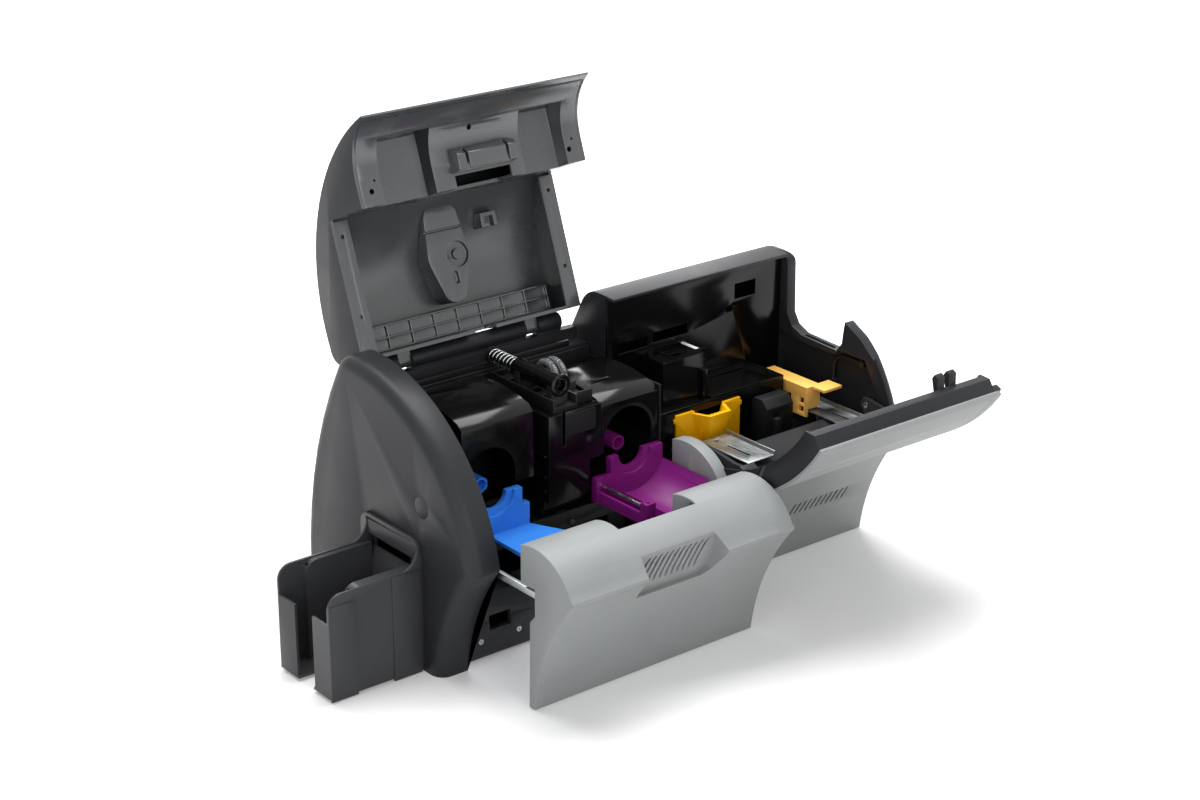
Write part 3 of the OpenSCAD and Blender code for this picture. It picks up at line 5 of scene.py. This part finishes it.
import bmesh
import bpy
from bpy.props import FloatProperty, FloatVectorProperty, IntProperty, PointerProperty
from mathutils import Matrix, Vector

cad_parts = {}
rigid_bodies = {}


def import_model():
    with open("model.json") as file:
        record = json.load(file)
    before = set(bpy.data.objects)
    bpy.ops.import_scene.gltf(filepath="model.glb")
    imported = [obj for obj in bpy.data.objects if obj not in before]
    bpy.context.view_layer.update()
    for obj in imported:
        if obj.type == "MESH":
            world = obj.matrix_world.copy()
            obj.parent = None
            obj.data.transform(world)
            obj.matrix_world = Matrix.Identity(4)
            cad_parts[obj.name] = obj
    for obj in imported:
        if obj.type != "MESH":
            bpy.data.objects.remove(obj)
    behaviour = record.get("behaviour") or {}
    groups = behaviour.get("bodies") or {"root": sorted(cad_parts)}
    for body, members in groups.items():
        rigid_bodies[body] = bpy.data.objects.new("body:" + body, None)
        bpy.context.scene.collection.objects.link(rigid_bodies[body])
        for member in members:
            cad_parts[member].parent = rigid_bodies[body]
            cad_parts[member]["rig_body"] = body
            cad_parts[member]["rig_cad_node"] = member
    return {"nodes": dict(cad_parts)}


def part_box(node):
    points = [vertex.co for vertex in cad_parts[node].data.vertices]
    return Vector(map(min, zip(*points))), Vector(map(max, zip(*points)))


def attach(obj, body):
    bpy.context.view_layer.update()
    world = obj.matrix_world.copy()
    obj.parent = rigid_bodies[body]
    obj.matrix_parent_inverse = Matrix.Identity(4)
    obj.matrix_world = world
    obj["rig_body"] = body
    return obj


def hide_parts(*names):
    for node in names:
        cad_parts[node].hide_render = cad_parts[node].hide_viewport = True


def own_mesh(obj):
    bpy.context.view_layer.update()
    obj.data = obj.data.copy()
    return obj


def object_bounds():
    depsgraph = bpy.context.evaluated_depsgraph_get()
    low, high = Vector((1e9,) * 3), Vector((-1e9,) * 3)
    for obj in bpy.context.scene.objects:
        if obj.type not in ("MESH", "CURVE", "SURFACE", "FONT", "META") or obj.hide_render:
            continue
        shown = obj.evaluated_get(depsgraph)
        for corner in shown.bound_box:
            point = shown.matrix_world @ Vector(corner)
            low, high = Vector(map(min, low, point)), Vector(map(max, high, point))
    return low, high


bl_info = {
    "name": "ID card printer scene",
    "version": (1, 0, 0),
    "blender": (4, 5, 0),
    "location": "View3D > Sidebar > Card printer",
    "description": "Dresses the packed model of an ID card printer and lights it",
    "category": "Object",
}

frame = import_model()
MM = 0.001
CAD_LOW, CAD_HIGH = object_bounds()
# the machine's own zero, at the foot of the left cap's outer face, in metres; the plug's axis is 14 mm behind it
PLUG_BEHIND = 14 * MM
PLUG_LOW, PLUG_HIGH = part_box("left_cap_plug")
ORIGIN = Vector((PLUG_LOW.x, (PLUG_LOW.y + PLUG_HIGH.y) / 2 - PLUG_BEHIND, 0))

# places in the machine's own millimetres
CAMERA_PLACE = (-1071.9, -1558.1, 1004.2)
BASE_SCREWS = ((51, 1.6, 18), (93, 1.6, 18))
# lamp: name, place, width and height in metres, share of the key lamp's power
LAMPS = (
    ("overhead softbox", (330, 330, 1700), (1.5, 1.1), 1.0),
    ("left softbox", (-1500, -800, 550), (1.1, 1.0), 0.12),
    ("front softbox", (-150, -1300, 700), (1.0, 0.6), 0.12),
    ("rear softbox", (900, 1500, 900), (1.4, 0.6), 0.30),
)
# from the middle of the cover's dome to a point in front of the open cover, which its hollow side looks at
DOME_TO_HOLLOW = Vector((0, -200, 120)) * MM
FLOOR_RADIUS = 14
# the floor's own glow, and the distances from the middle in metres between which it rises
GLOW, GLOW_REACH = (0.16, 1.0), (0.25, 1.3)
WORLD_AS_LIGHT = 0.40
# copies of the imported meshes: corners closer than this are one
MERGE = 0.02 * MM


def at(x, y, z):
    """A point given in the machine's own millimetres, as a point of the frame."""
    return ORIGIN + Vector((x, y, z)) * MM


def linear(hex_code):
    """sRGB hex code to a linear RGBA colour."""
    values = [int(hex_code[i:i + 2], 16) / 255 for i in (1, 3, 5)]
    return tuple(v / 12.92 if v <= 0.04045 else ((v + 0.055) / 1.055) ** 2.4 for v in values) + (1.0,)


# ---- settings a user would change

class PlasticSettings(bpy.types.PropertyGroup):
    """Colours of the moulded parts."""
    shell: FloatVectorProperty(name="Shell", description="Dark grey of the caps and covers", subtype="COLOR", size=4,
                               min=0, max=1, default=linear("#28292C"))
    panel: FloatVectorProperty(name="Panels", description="Silver grey of the drawer and front panels",
                               subtype="COLOR", size=4, min=0, max=1, default=linear("#8F9292"))
    engine: FloatVectorProperty(name="Engine", description="Black of the print engine", subtype="COLOR", size=4,
                                min=0, max=1, default=linear("#090909"))
    blue: FloatVectorProperty(name="Blue", description="Ribbon supply side", subtype="COLOR", size=4,
                              min=0, max=1, default=linear("#3480DE"))
    purple: FloatVectorProperty(name="Purple", description="Ribbon take-up side", subtype="COLOR", size=4,
                                min=0, max=1, default=linear("#781A70"))
    yellow: FloatVectorProperty(name="Yellow", description="Lift-out tray", subtype="COLOR", size=4,
                                min=0, max=1, default=linear("#FFB800"))
    orange: FloatVectorProperty(name="Orange", description="Release lever", subtype="COLOR", size=4,
                                min=0, max=1, default=linear("#FFC263"))


class ShapeSettings(bpy.types.PropertyGroup):
    """Sizes of small details."""
    edge: FloatProperty(name="Edge", description="Usual rounding of a moulded edge", subtype="DISTANCE",
                        unit="LENGTH", min=0.0001, max=0.003, default=0.7 * MM)
    screw: FloatProperty(name="Screw head", description="Diameter of the panel screws' heads", subtype="DISTANCE",
                         unit="LENGTH", min=0.003, max=0.01, default=5.6 * MM)
    steps: IntProperty(name="Edge steps", description="Facets across a rounded edge", min=1, max=5, default=2)


class StageSettings(bpy.types.PropertyGroup):
    """Camera and light."""
    lens: FloatProperty(name="Lens", description="Focal length", subtype="DISTANCE_CAMERA",
                        min=20, max=200, default=72.7)
    heading: FloatProperty(name="Heading", description="Camera's turn from the front", subtype="ANGLE",
                           default=math.radians(38.9))
    pitch: FloatProperty(name="Pitch", description="Camera's tilt below level", subtype="ANGLE",
                         default=math.radians(21.5))
    key: FloatProperty(name="Key light", description="Power of the large lamp overhead", subtype="POWER",
                       min=0, default=40)


# ---- nodes of materials

FLOW_MM = 45       # length of a flow mark in a moulding
DRAW_MM = 1.2      # spacing of drawing or rolling lines
BRAID_MM = 1.1     # pitch of the sleeve's weave

def add_node(tree, kind, settings=None, **links):
    """Adds one shader node. settings holds attributes and socket values, links the sockets to join to it.

    A link is named for its socket, with _ for a space, or n and the socket's number.
    """
    node = tree.nodes.new(kind)
    for key, value in (settings or {}).items():
        if isinstance(key, str) and hasattr(node, key):
            setattr(node, key, value)
        else:
            node.inputs[key].default_value = value
    for key, source in links.items():
        by_number = key[0] == "n" and key[1:].isdigit()
        tree.links.new(source, node.inputs[int(key[1:]) if by_number else key.replace("_", " ")])
    return node


def new_material(name, rgba, roughness, metallic=0.0):
    """A material with its shader set to plain values, and the node tree to add to."""
    material = bpy.data.materials.new(name)
    material.use_nodes = True
    shader = material.node_tree.nodes["Principled BSDF"]
    shader.inputs["Base Color"].default_value = rgba
    shader.inputs["Roughness"].default_value = roughness
    shader.inputs["Metallic"].default_value = metallic
    return material, material.node_tree, shader


def per_mm(size_mm):
    """Texture scale at which one feature of a noise measures size_mm in the frame's metres."""
    return 1 / (size_mm * MM)


def moulded(name, colour, roughness, grain_mm, depth_mm, sheen=0.04, shine=0.28):
    """Injection moulded plastic: spark-eroded grain, faint flow marks and hand marks in the gloss."""
    material, tree, shader = new_material(name, colour, roughness)
    shader.inputs["Specular IOR Level"].default_value = shine
    place = add_node(tree, "ShaderNodeTexCoord").outputs["Object"]
    grain = add_node(tree, "ShaderNodeTexNoise", {"Scale": per_mm(grain_mm), "Detail": 3.0, "Roughness": 0.6},
                     Vector=place)
    flow = add_node(tree, "ShaderNodeTexNoise", {"Scale": per_mm(FLOW_MM), "Detail": 4.0, "Distortion": 0.4},
                    Vector=place)
    tone = add_node(tree, "ShaderNodeMapRange", {"From Min": 0.3, "From Max": 0.7, "To Min": 0.965, "To Max": 1.035},
                    Value=flow.outputs["Fac"])
    shade = add_node(tree, "ShaderNodeMix", {"data_type": "RGBA", "blend_type": "MULTIPLY"})
    shade.inputs[0].default_value = 1.0
    shade.inputs[6].default_value = colour
    tree.links.new(tone.outputs[0], shade.inputs[7])
    tree.links.new(shade.outputs[2], shader.inputs["Base Color"])
    gloss = add_node(tree, "ShaderNodeMapRange", {"From Min": 0.3, "From Max": 0.7, "To Min": roughness - sheen,
                                                  "To Max": roughness + sheen}, Value=flow.outputs["Fac"])
    tree.links.new(gloss.outputs[0], shader.inputs["Roughness"])
    bump = add_node(tree, "ShaderNodeBump", {"Strength": 0.5, "Distance": depth_mm * MM}, Height=grain.outputs["Fac"])
    tree.links.new(bump.outputs["Normal"], shader.inputs["Normal"])
    return material


def rolled(name, colour, roughness, stretch):
    """Metal with drawing or rolling lines along one way of the part."""
    material, tree, shader = new_material(name, colour, roughness, metallic=1.0)
    place = add_node(tree, "ShaderNodeTexCoord").outputs["Object"]
    along = add_node(tree, "ShaderNodeMapping", {"Scale": stretch}, Vector=place)
    lines = add_node(tree, "ShaderNodeTexNoise", {"Scale": per_mm(DRAW_MM), "Detail": 3.0}, Vector=along.outputs[0])
    gloss = add_node(tree, "ShaderNodeMapRange", {"From Min": 0.3, "From Max": 0.7, "To Min": roughness - 0.07,
                                                  "To Max": roughness + 0.09}, Value=lines.outputs["Fac"])
    tree.links.new(gloss.outputs[0], shader.inputs["Roughness"])
    bump = add_node(tree, "ShaderNodeBump", {"Strength": 0.25, "Distance": 0.03 * MM}, Height=lines.outputs["Fac"])
    tree.links.new(bump.outputs["Normal"], shader.inputs["Normal"])
    return material


def shell_abs():
    """Textured ABS of the caps and covers. Fine spark grain spreads the light into a broad satin glow."""
    return moulded("textured ABS, moulded dark grey", bpy.context.scene.printer_plastics.shell, 0.42, 0.9, 0.035,
                    shine=0.22)


def panel_abs():
    """ABS with a silver grey satin lacquer, sprayed, so it has a very fine orange peel."""
    return moulded("satin lacquered ABS, silver grey", bpy.context.scene.printer_plastics.panel, 0.45, 1.1, 0.02)


def cover_abs_painted_lighter():
    """Smooth ABS of the cover's inside, straight from a polished mould, with broad soft reflections. Its grey is
    lighter than the outer shell's, as painted light on the inside of the same moulding.
    """
    # painted light: this grey is lighter than the shell's own, although inside and outside are one moulding
    return moulded("smooth ABS, dark grey with painted light", linear("#45484A"), 0.24, 2.5, 0.02, sheen=0.08,
                    shine=1.0)


def engine_abs():
    """Polished black PC-ABS of the engine's covers, which mirrors the studio."""
    return moulded("polished PC-ABS, moulded black", bpy.context.scene.printer_plastics.engine, 0.16, 5.0, 0.03,
                   sheen=0.04)


def frame_black():
    """Glass-filled nylon and sheet of the engine's inner frame, matt black."""
    return moulded("glass-filled nylon, moulded black", linear("#131415"), 0.45, 0.8, 0.04)


def hopper_abs():
    """Textured ABS of the card hopper, a little browner than the caps."""
    return moulded("textured ABS, moulded graphite", linear("#38393B"), 0.40, 0.9, 0.035)


def blue_pom():
    """Blue acetal, waxy, with a little light passing into it."""
    return moulded("acetal, moulded blue", bpy.context.scene.printer_plastics.blue, 0.38, 1.4, 0.02)


def purple_pom():
    """Purple acetal."""
    return moulded("acetal, moulded purple", bpy.context.scene.printer_plastics.purple, 0.34, 1.4, 0.02)


def yellow_abs():
    """Yellow ABS."""
    return moulded("ABS, moulded yellow", bpy.context.scene.printer_plastics.yellow, 0.36, 1.4, 0.02)


def orange_abs():
    """Orange ABS."""
    return moulded("ABS, moulded orange", bpy.context.scene.printer_plastics.orange, 0.38, 1.4, 0.02)


def white_pom():
    """White acetal roller."""
    return moulded("acetal, turned white", linear("#E4E6E6"), 0.35, 2.0, 0.01)


def foot_rubber():
    """Black EPDM feet."""
    return moulded("EPDM rubber, moulded black", linear("#171717"), 0.75, 0.6, 0.05)


def platen_rubber():
    """Ground silicone rubber of the platen, matt with a fine ground tooth."""
    return moulded("silicone rubber, ground grey", linear("#3B3B3D"), 0.62, 0.5, 0.03)


def zinc_steel():
    """Zinc-plated sheet steel, pale grey, with rolling lines along Y."""
    return rolled("sheet steel, zinc plated", linear("#A6AAAB"), 0.38, (1.0, 0.12, 1.0))


def bright_steel():
    """Ground steel rod and springs."""
    return rolled("steel, ground bright", linear("#C4C6C7"), 0.22, (1.0, 0.2, 1.0))


def black_steel():
    """Sheet steel with black powder coat."""
    return moulded("sheet steel, powder coated black", linear("#1B1C1D"), 0.42, 0.7, 0.05)


def braided_sleeve():
    """Braided polyester sleeve over a lead: a fine diamond weave of 1.1 mm, drawn a little coarse so it shows. Its
    colour is darker where the weave is low, as painted shade in the grooves between the strands.
    """
    material, tree, shader = new_material("polyester sleeve, braided grey", linear("#77797B"), 0.62)
    place = add_node(tree, "ShaderNodeTexCoord").outputs["Object"]
    height = None
    for turn in (0.7, -0.7):
        turned = add_node(tree, "ShaderNodeMapping", {"Rotation": (turn, 0.0, 0.0)}, Vector=place)
        wave = add_node(tree, "ShaderNodeTexWave", {"Scale": per_mm(BRAID_MM) / 6.28, "bands_direction": "Y",
                                                    "Distortion": 1.2, "Detail": 1.0}, Vector=turned.outputs[0])
        if height is None:
            height = wave.outputs["Fac"]
        else:
            both = add_node(tree, "ShaderNodeMath", {"operation": "MULTIPLY"}, n0=height, n1=wave.outputs["Fac"])
            height = both.outputs[0]
    # painted shade: the colour goes dark where the weave's height is low, in the grooves between the strands
    weave_with_groove_shade = add_node(tree, "ShaderNodeMix", {"data_type": "RGBA"}, n0=height)
    weave_with_groove_shade.inputs[6].default_value = linear("#3E4042")
    weave_with_groove_shade.inputs[7].default_value = linear("#A2A4A6")
    tree.links.new(weave_with_groove_shade.outputs[2], shader.inputs["Base Color"])
    bump = add_node(tree, "ShaderNodeBump", {"Strength": 0.7, "Distance": 0.25 * MM}, Height=height)
    tree.links.new(bump.outputs["Normal"], shader.inputs["Normal"])
    return material


def cable_pvc():
    """Black PVC jacket of the sensor's lead."""
    return moulded("PVC, extruded black", linear("#161616"), 0.35, 3.0, 0.02)


def bare_vinyl():
    """Bare plate: black vinyl film, smooth."""
    return moulded("vinyl film, bare black", linear("#1E1F20"), 0.32, 4.0, 0.01)


# ---- helpers for pieces

def deselect():
    """Leaves edit mode and selects nothing."""
    if bpy.context.object and bpy.context.object.mode != "OBJECT":
        bpy.ops.object.mode_set(mode="OBJECT")
    bpy.ops.object.select_all(action="DESELECT")


def make_active(piece):
    """Selects one piece and makes it the active one."""
    deselect()
    piece.select_set(True)
    bpy.context.view_layer.objects.active = piece


def give(piece, material):
    """Gives a piece one material."""
    piece.data.materials.clear()
    piece.data.materials.append(material)
    for face in piece.data.polygons:
        face.material_index = 0


def finish_piece(piece, name, material, body, smooth=35):
    """Names a modelled piece, fixes its place in its mesh, and puts it on its body."""
    make_active(piece)
    bpy.ops.object.transform_apply(location=True, rotation=True, scale=True)
    bpy.ops.object.shade_smooth_by_angle(angle=math.radians(smooth))
    piece.name = name
    piece.data.name = name
    give(piece, material)
    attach(piece, body)
    return piece


def dressed(node, material, edge=None, steps=None, flat=0.6, smooth=32):
    """A copy of a CAD node with its triangles merged and its edges rounded, which stands in for the node."""
    shape = bpy.context.scene.printer_shapes
    source = frame["nodes"][node]
    piece = source.copy()
    piece.data = source.data.copy()
    bpy.context.scene.collection.objects.link(piece)
    body = source["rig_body"]
    piece.parent = None
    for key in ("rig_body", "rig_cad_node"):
        del piece[key]
    make_active(piece)
    bpy.ops.object.mode_set(mode="EDIT")
    bpy.ops.mesh.select_all(action="SELECT")
    bpy.ops.mesh.remove_doubles(threshold=MERGE)
    bpy.ops.mesh.dissolve_limited(angle_limit=math.radians(flat))
    bpy.ops.object.mode_set(mode="OBJECT")
    width = shape.edge if edge is None else edge * MM
    if width > 0:
        rounding = piece.modifiers.new("edges", "BEVEL")
        rounding.width = width
        rounding.segments = shape.steps if steps is None else steps
        rounding.limit_method = "ANGLE"
        rounding.angle_limit = math.radians(smooth)
        rounding.use_clamp_overlap = True
        bpy.ops.object.modifier_apply(modifier=rounding.name)
    finish_piece(piece, node + "_made", material, body, smooth)
    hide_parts(node)
    return piece


def lined(piece, material, hollow):
    """Gives the faces of a shell that look towards its hollow a second material, as from a polished core. On the
    cover that material's lighter grey is painted light.
    """
    piece.data.materials.append(material)
    for face in piece.data.polygons:
        if face.normal.dot(face.center - hollow) < 0:
            face.material_index = 1


def screw(name, place, facing, head, body, material, deep=0.9):
    """A pan head with a cross recess, sunk into the surface at place and facing along a unit vector."""
    deselect()
    bpy.ops.mesh.primitive_cylinder_add(vertices=24, radius=head / 2, depth=2.2 * MM, location=(0, 0, 0))
    piece = bpy.context.object
    bpy.ops.object.mode_set(mode="EDIT")
    bpy.ops.mesh.select_all(action="DESELECT")
    mesh = bmesh.from_edit_mesh(piece.data)
    mesh.faces.ensure_lookup_table()
    top = max(mesh.faces, key=lambda face: face.calc_center_median().z)
    top.select_set(True)
    mesh.select_mode = {"FACE"}
    mesh.select_flush_mode()
    bmesh.update_edit_mesh(piece.data)
    bpy.ops.mesh.bevel(offset=0.5 * MM, segments=3, affect="EDGES")
    bpy.ops.object.mode_set(mode="OBJECT")
    for turn in (0, math.pi / 2):
        bpy.ops.mesh.primitive_cube_add(size=1, location=(0, 0, 1.1 * MM), rotation=(0, 0, turn + 0.4))
        slot = bpy.context.object
        slot.scale = (head * 0.52, head * 0.13, 2 * deep * MM)
        cut = piece.modifiers.new("recess", "BOOLEAN")
        cut.operation = "DIFFERENCE"
        cut.object = slot
        make_active(piece)
        bpy.ops.object.modifier_apply(modifier=cut.name)
        bpy.data.objects.remove(slot)
    piece.rotation_euler = Vector(facing).to_track_quat("Z", "Y").to_euler()
    piece.location = place
    return finish_piece(piece, name, material, body)


# ---- operators: one for each group of pieces and one for the stage

class StageOperator(bpy.types.Operator):
    """Sets the floor, the lamps, the world and the camera"""
    bl_idname = "card_printer.stage"
    bl_label = "Stage"

    def execute(self, context):
        settings = context.scene.printer_stage
        make_floor()
        make_world()
        middle = (CAD_LOW + CAD_HIGH) / 2
        for name, place, size, share in LAMPS:
            softbox(name, at(*place), middle, size, settings.key * share)
        camera = bpy.data.objects.new("camera", bpy.data.cameras.new("camera"))
        context.scene.collection.objects.link(camera)
        camera.location = at(*CAMERA_PLACE)
        camera.rotation_euler = (math.radians(90) - settings.pitch, 0, -settings.heading)
        camera.data.lens = settings.lens
        camera.data.sensor_fit = "HORIZONTAL"
        camera.data.sensor_width = 36
        camera.data.clip_end = 60
        context.scene.camera = camera
        context.scene.view_settings.view_transform = "Standard"
        return {"FINISHED"}


def seen_or_mirrored(tree):
    """1 for a ray from the camera, or one mirrored or passed on by a surface, and 0 for light on the object."""
    path = add_node(tree, "ShaderNodeLightPath")
    first = add_node(tree, "ShaderNodeMath", {"operation": "MAXIMUM"}, n0=path.outputs["Is Camera Ray"],
                     n1=path.outputs["Is Glossy Ray"])
    return add_node(tree, "ShaderNodeMath", {"operation": "MAXIMUM"}, n0=first.outputs[0],
                    n1=path.outputs["Is Transmission Ray"]).outputs[0]


def make_floor():
    """A wide pale floor that only shows the object's soft shadow."""
    deselect()
    bpy.ops.mesh.primitive_circle_add(vertices=96, radius=FLOOR_RADIUS, fill_type="NGON", location=(0, 0, 0))
    floor = bpy.context.object
    floor.name = "floor"
    material, tree, shader = new_material("paper sweep, white", linear("#E8E8E8"), 0.9)
    seen = seen_or_mirrored(tree)
    place = add_node(tree, "ShaderNodeTexCoord").outputs["Object"]
    away = add_node(tree, "ShaderNodeVectorMath", {"operation": "LENGTH"}, n0=place).outputs["Value"]
    # the glow grows with the distance, so that the sweep stays white where the lamps fall off
    rise = add_node(tree, "ShaderNodeMapRange", {"From Min": GLOW_REACH[0], "From Max": GLOW_REACH[1],
                                                 "To Min": GLOW[0], "To Max": GLOW[1]}, Value=away).outputs[0]
    strength = add_node(tree, "ShaderNodeMath", {"operation": "MULTIPLY"}, n0=seen, n1=rise).outputs[0]
    glow = add_node(tree, "ShaderNodeEmission", {"Color": (1, 1, 1, 1)}, Strength=strength)
    both = add_node(tree, "ShaderNodeAddShader", {}, n0=shader.outputs[0], n1=glow.outputs[0])
    tree.links.new(both.outputs[0], tree.nodes["Material Output"].inputs["Surface"])
    give(floor, material)


def make_world():
    """White to the camera and in reflections, a quiet grey as light."""
    world = bpy.data.worlds.new("studio")
    bpy.context.scene.world = world
    world.use_nodes = True
    tree = world.node_tree
    background = tree.nodes["Background"]
    level = add_node(tree, "ShaderNodeMapRange", {"To Min": WORLD_AS_LIGHT, "To Max": 1.0},
                     Value=seen_or_mirrored(tree))
    tree.links.new(level.outputs[0], background.inputs["Strength"])
    background.inputs["Color"].default_value = (1, 1, 1, 1)


def softbox(name, place, aim, size, power):
    """A rectangular area lamp that faces aim."""
    lamp = bpy.data.objects.new(name, bpy.data.lights.new(name, "AREA"))
    bpy.context.scene.collection.objects.link(lamp)
    lamp.data.shape = "RECTANGLE"
    lamp.data.size, lamp.data.size_y = size
    lamp.data.energy = power
    lamp.location = place
    lamp.rotation_euler = (aim - place).to_track_quat("-Z", "Y").to_euler()


class BaseOperator(bpy.types.Operator):
    """Dresses the base, the end caps and the rear housings"""
    bl_idname = "card_printer.base"
    bl_label = "Base and caps"

    def execute(self, context):
        shell, black = shell_abs(), frame_black()
        for node in ("left_end_cap", "right_end_cap"):
            dressed(node, shell, edge=0.8)
        dressed("left_cap_plug", shell, edge=0.3)
        dressed("laminator_rear_shell", shell, edge=0.8)
        dressed("printer_rear_housing", shell, edge=0.5)
        dressed("base_front_panel", hopper_abs(), edge=0.4)
        dressed("rubber_feet", foot_rubber(), edge=0.4)
        dressed("power_inlet", black, edge=0.3)
        dressed("data_sockets", zinc_steel(), edge=0.2)
        steel = black_steel()
        for node in ("base_pan", "left_side_frame", "right_side_frame", "spindle_wall"):
            dressed(node, steel, edge=0.2, steps=1)
        dressed("laminator_inner_panel", engine_abs(), edge=0.4)
        dressed("laminator_front_panel", panel_abs(), edge=0.7)
        head = context.scene.printer_shapes.screw
        for count, place in enumerate(BASE_SCREWS, 1):
            screw(f"base_screw_{count}", at(*place), (0, -1, 0), head, "chassis", bright_steel())
        return {"FINISHED"}


class HopperOperator(bpy.types.Operator):
    """Dresses the card hopper"""
    bl_idname = "card_printer.hopper"
    bl_label = "Card hopper"

    def execute(self, context):
        dressed("output_hopper", hopper_abs(), edge=0.8, steps=3)
        return {"FINISHED"}


class EngineOperator(bpy.types.Operator):
    """Dresses the print engine between the caps"""
    bl_idname = "card_printer.engine"
    bl_label = "Print engine"

    def execute(self, context):
        gloss, black, steel = engine_abs(), frame_black(), bright_steel()
        for node in ("left_ribbon_hood", "right_ribbon_hood", "centre_tower"):
            dressed(node, gloss, edge=0.8, steps=3)
        dressed("bare_label_plate", bare_vinyl(), edge=0.1, steps=1)
        for node in ("card_bed", "head_bracket", "hinge_deck"):
            dressed(node, black, edge=0.4)
        dressed("head_sleeve", gloss, edge=0.3)
        dressed("head_plunger", black, edge=0.3)
        # the spring is copied with sharp edges and given a mesh of its own
        spring = dressed("head_spring", steel, edge=0, smooth=80)
        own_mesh(spring)
        dressed("head_cables", braided_sleeve(), edge=0)
        dressed("cover_hinge_pin", steel, edge=0.3)
        dressed("blue_spindle", blue_pom(), edge=0.4)
        dressed("purple_spindle", purple_pom(), edge=0.4)
        dressed("platen_roller", platen_rubber(), edge=0.3)
        dressed("feed_roller", steel, edge=0.3)
        return {"FINISHED"}


class CoverOperator(bpy.types.Operator):
    """Dresses the printer's hinged cover"""
    bl_idname = "card_printer.cover"
    bl_label = "Printer cover"

    def execute(self, context):
        smooth, textured = cover_abs_painted_lighter(), shell_abs()
        low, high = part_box("cover_dome")
        hollow = (low + high) / 2 + DOME_TO_HOLLOW
        # the hollow side of the shell and nose gets a lighter grey than the outside, as painted light
        lined(dressed("cover_shell", textured, edge=0.8), smooth, hollow)
        lined(dressed("cover_nose", textured, edge=0.5), smooth, hollow)
        for node in ("cover_latch_box", "cover_rib_strip", "cover_dome", "cover_clip"):
            dressed(node, smooth, edge=0.5)
        return {"FINISHED"}


class DrawerOperator(bpy.types.Operator):
    """Dresses the ribbon drawer"""
    bl_idname = "card_printer.drawer"
    bl_label = "Ribbon drawer"

    def execute(self, context):
        dressed("drawer_front", panel_abs(), edge=0.7, steps=3)
        dressed("drawer_runners", zinc_steel(), edge=0.2)
        dressed("blue_tray", blue_pom(), edge=0.5)
        dressed("purple_tray", purple_pom(), edge=0.5)
        dressed("tray_rod", bright_steel(), edge=0.2)
        return {"FINISHED"}


class LaminatorOperator(bpy.types.Operator):
    """Dresses the laminator behind its door"""
    bl_idname = "card_printer.laminator"
    bl_label = "Laminator"

    def execute(self, context):
        gloss, black = engine_abs(), frame_black()
        for node in ("deck_block", "deck_plate", "top_block"):
            dressed(node, gloss, edge=0.5)
        for node in ("laminator_bed", "motor_block"):
            dressed(node, black, edge=0.5)
        zinc, steel = zinc_steel(), bright_steel()
        for node in ("left_rail", "right_rail"):
            dressed(node, zinc, edge=0.3)
        for node in ("lever_pin", "motor_bracket"):
            dressed(node, steel, edge=0.2)
        dressed("white_roller", white_pom(), edge=0.3)
        dressed("yellow_tray", yellow_abs(), edge=0.4)
        dressed("orange_lever", orange_abs(), edge=0.4)
        dressed("sensor_cable", cable_pvc(), edge=0)
        return {"FINISHED"}


class DoorOperator(bpy.types.Operator):
    """Dresses the laminator's hinged door"""
    bl_idname = "card_printer.door"
    bl_label = "Laminator door"

    def execute(self, context):
        dressed("door_skin", panel_abs(), edge=0.6)
        dressed("door_frame", shell_abs(), edge=0.5)
        dressed("door_latch_hook", shell_abs(), edge=0.3)
        dressed("door_hinge_pins", bright_steel(), edge=0.2)
        return {"FINISHED"}


class PrinterPanel(bpy.types.Panel):
    """Lists the settings and the steps in the sidebar"""
    bl_idname = "VIEW3D_PT_card_printer"
    bl_label = "Card printer"
    bl_space_type = "VIEW_3D"
    bl_region_type = "UI"
    bl_category = "Card printer"

    def draw(self, context):
        scene = context.scene
        for group in (scene.printer_plastics, scene.printer_shapes, scene.printer_stage):
            box = self.layout.box()
            for name in group.bl_rna.properties.keys():
                if name not in ("rna_type", "name"):
                    box.prop(group, name)
        for step in STEPS:
            self.layout.operator(step.bl_idname)


STEPS = (StageOperator, BaseOperator, HopperOperator, EngineOperator, CoverOperator, DrawerOperator,
         LaminatorOperator, DoorOperator)
GROUPS = {"printer_plastics": PlasticSettings, "printer_shapes": ShapeSettings, "printer_stage": StageSettings}


def register():
    for group in GROUPS.values():
        bpy.utils.register_class(group)
    for name, group in GROUPS.items():
        setattr(bpy.types.Scene, name, PointerProperty(type=group))
    for kind in STEPS + (PrinterPanel,):
        bpy.utils.register_class(kind)


def unregister():
    for kind in reversed(STEPS + (PrinterPanel,)):
        bpy.utils.unregister_class(kind)
    for name, group in reversed(GROUPS.items()):
        delattr(bpy.types.Scene, name)
        bpy.utils.unregister_class(group)


def main():
    """Makes the whole scene."""
    register()
    for step in STEPS:
        family, name = step.bl_idname.split(".")
        getattr(getattr(bpy.ops, family), name)()
    deselect()


if __name__ == "__main__":
    main()
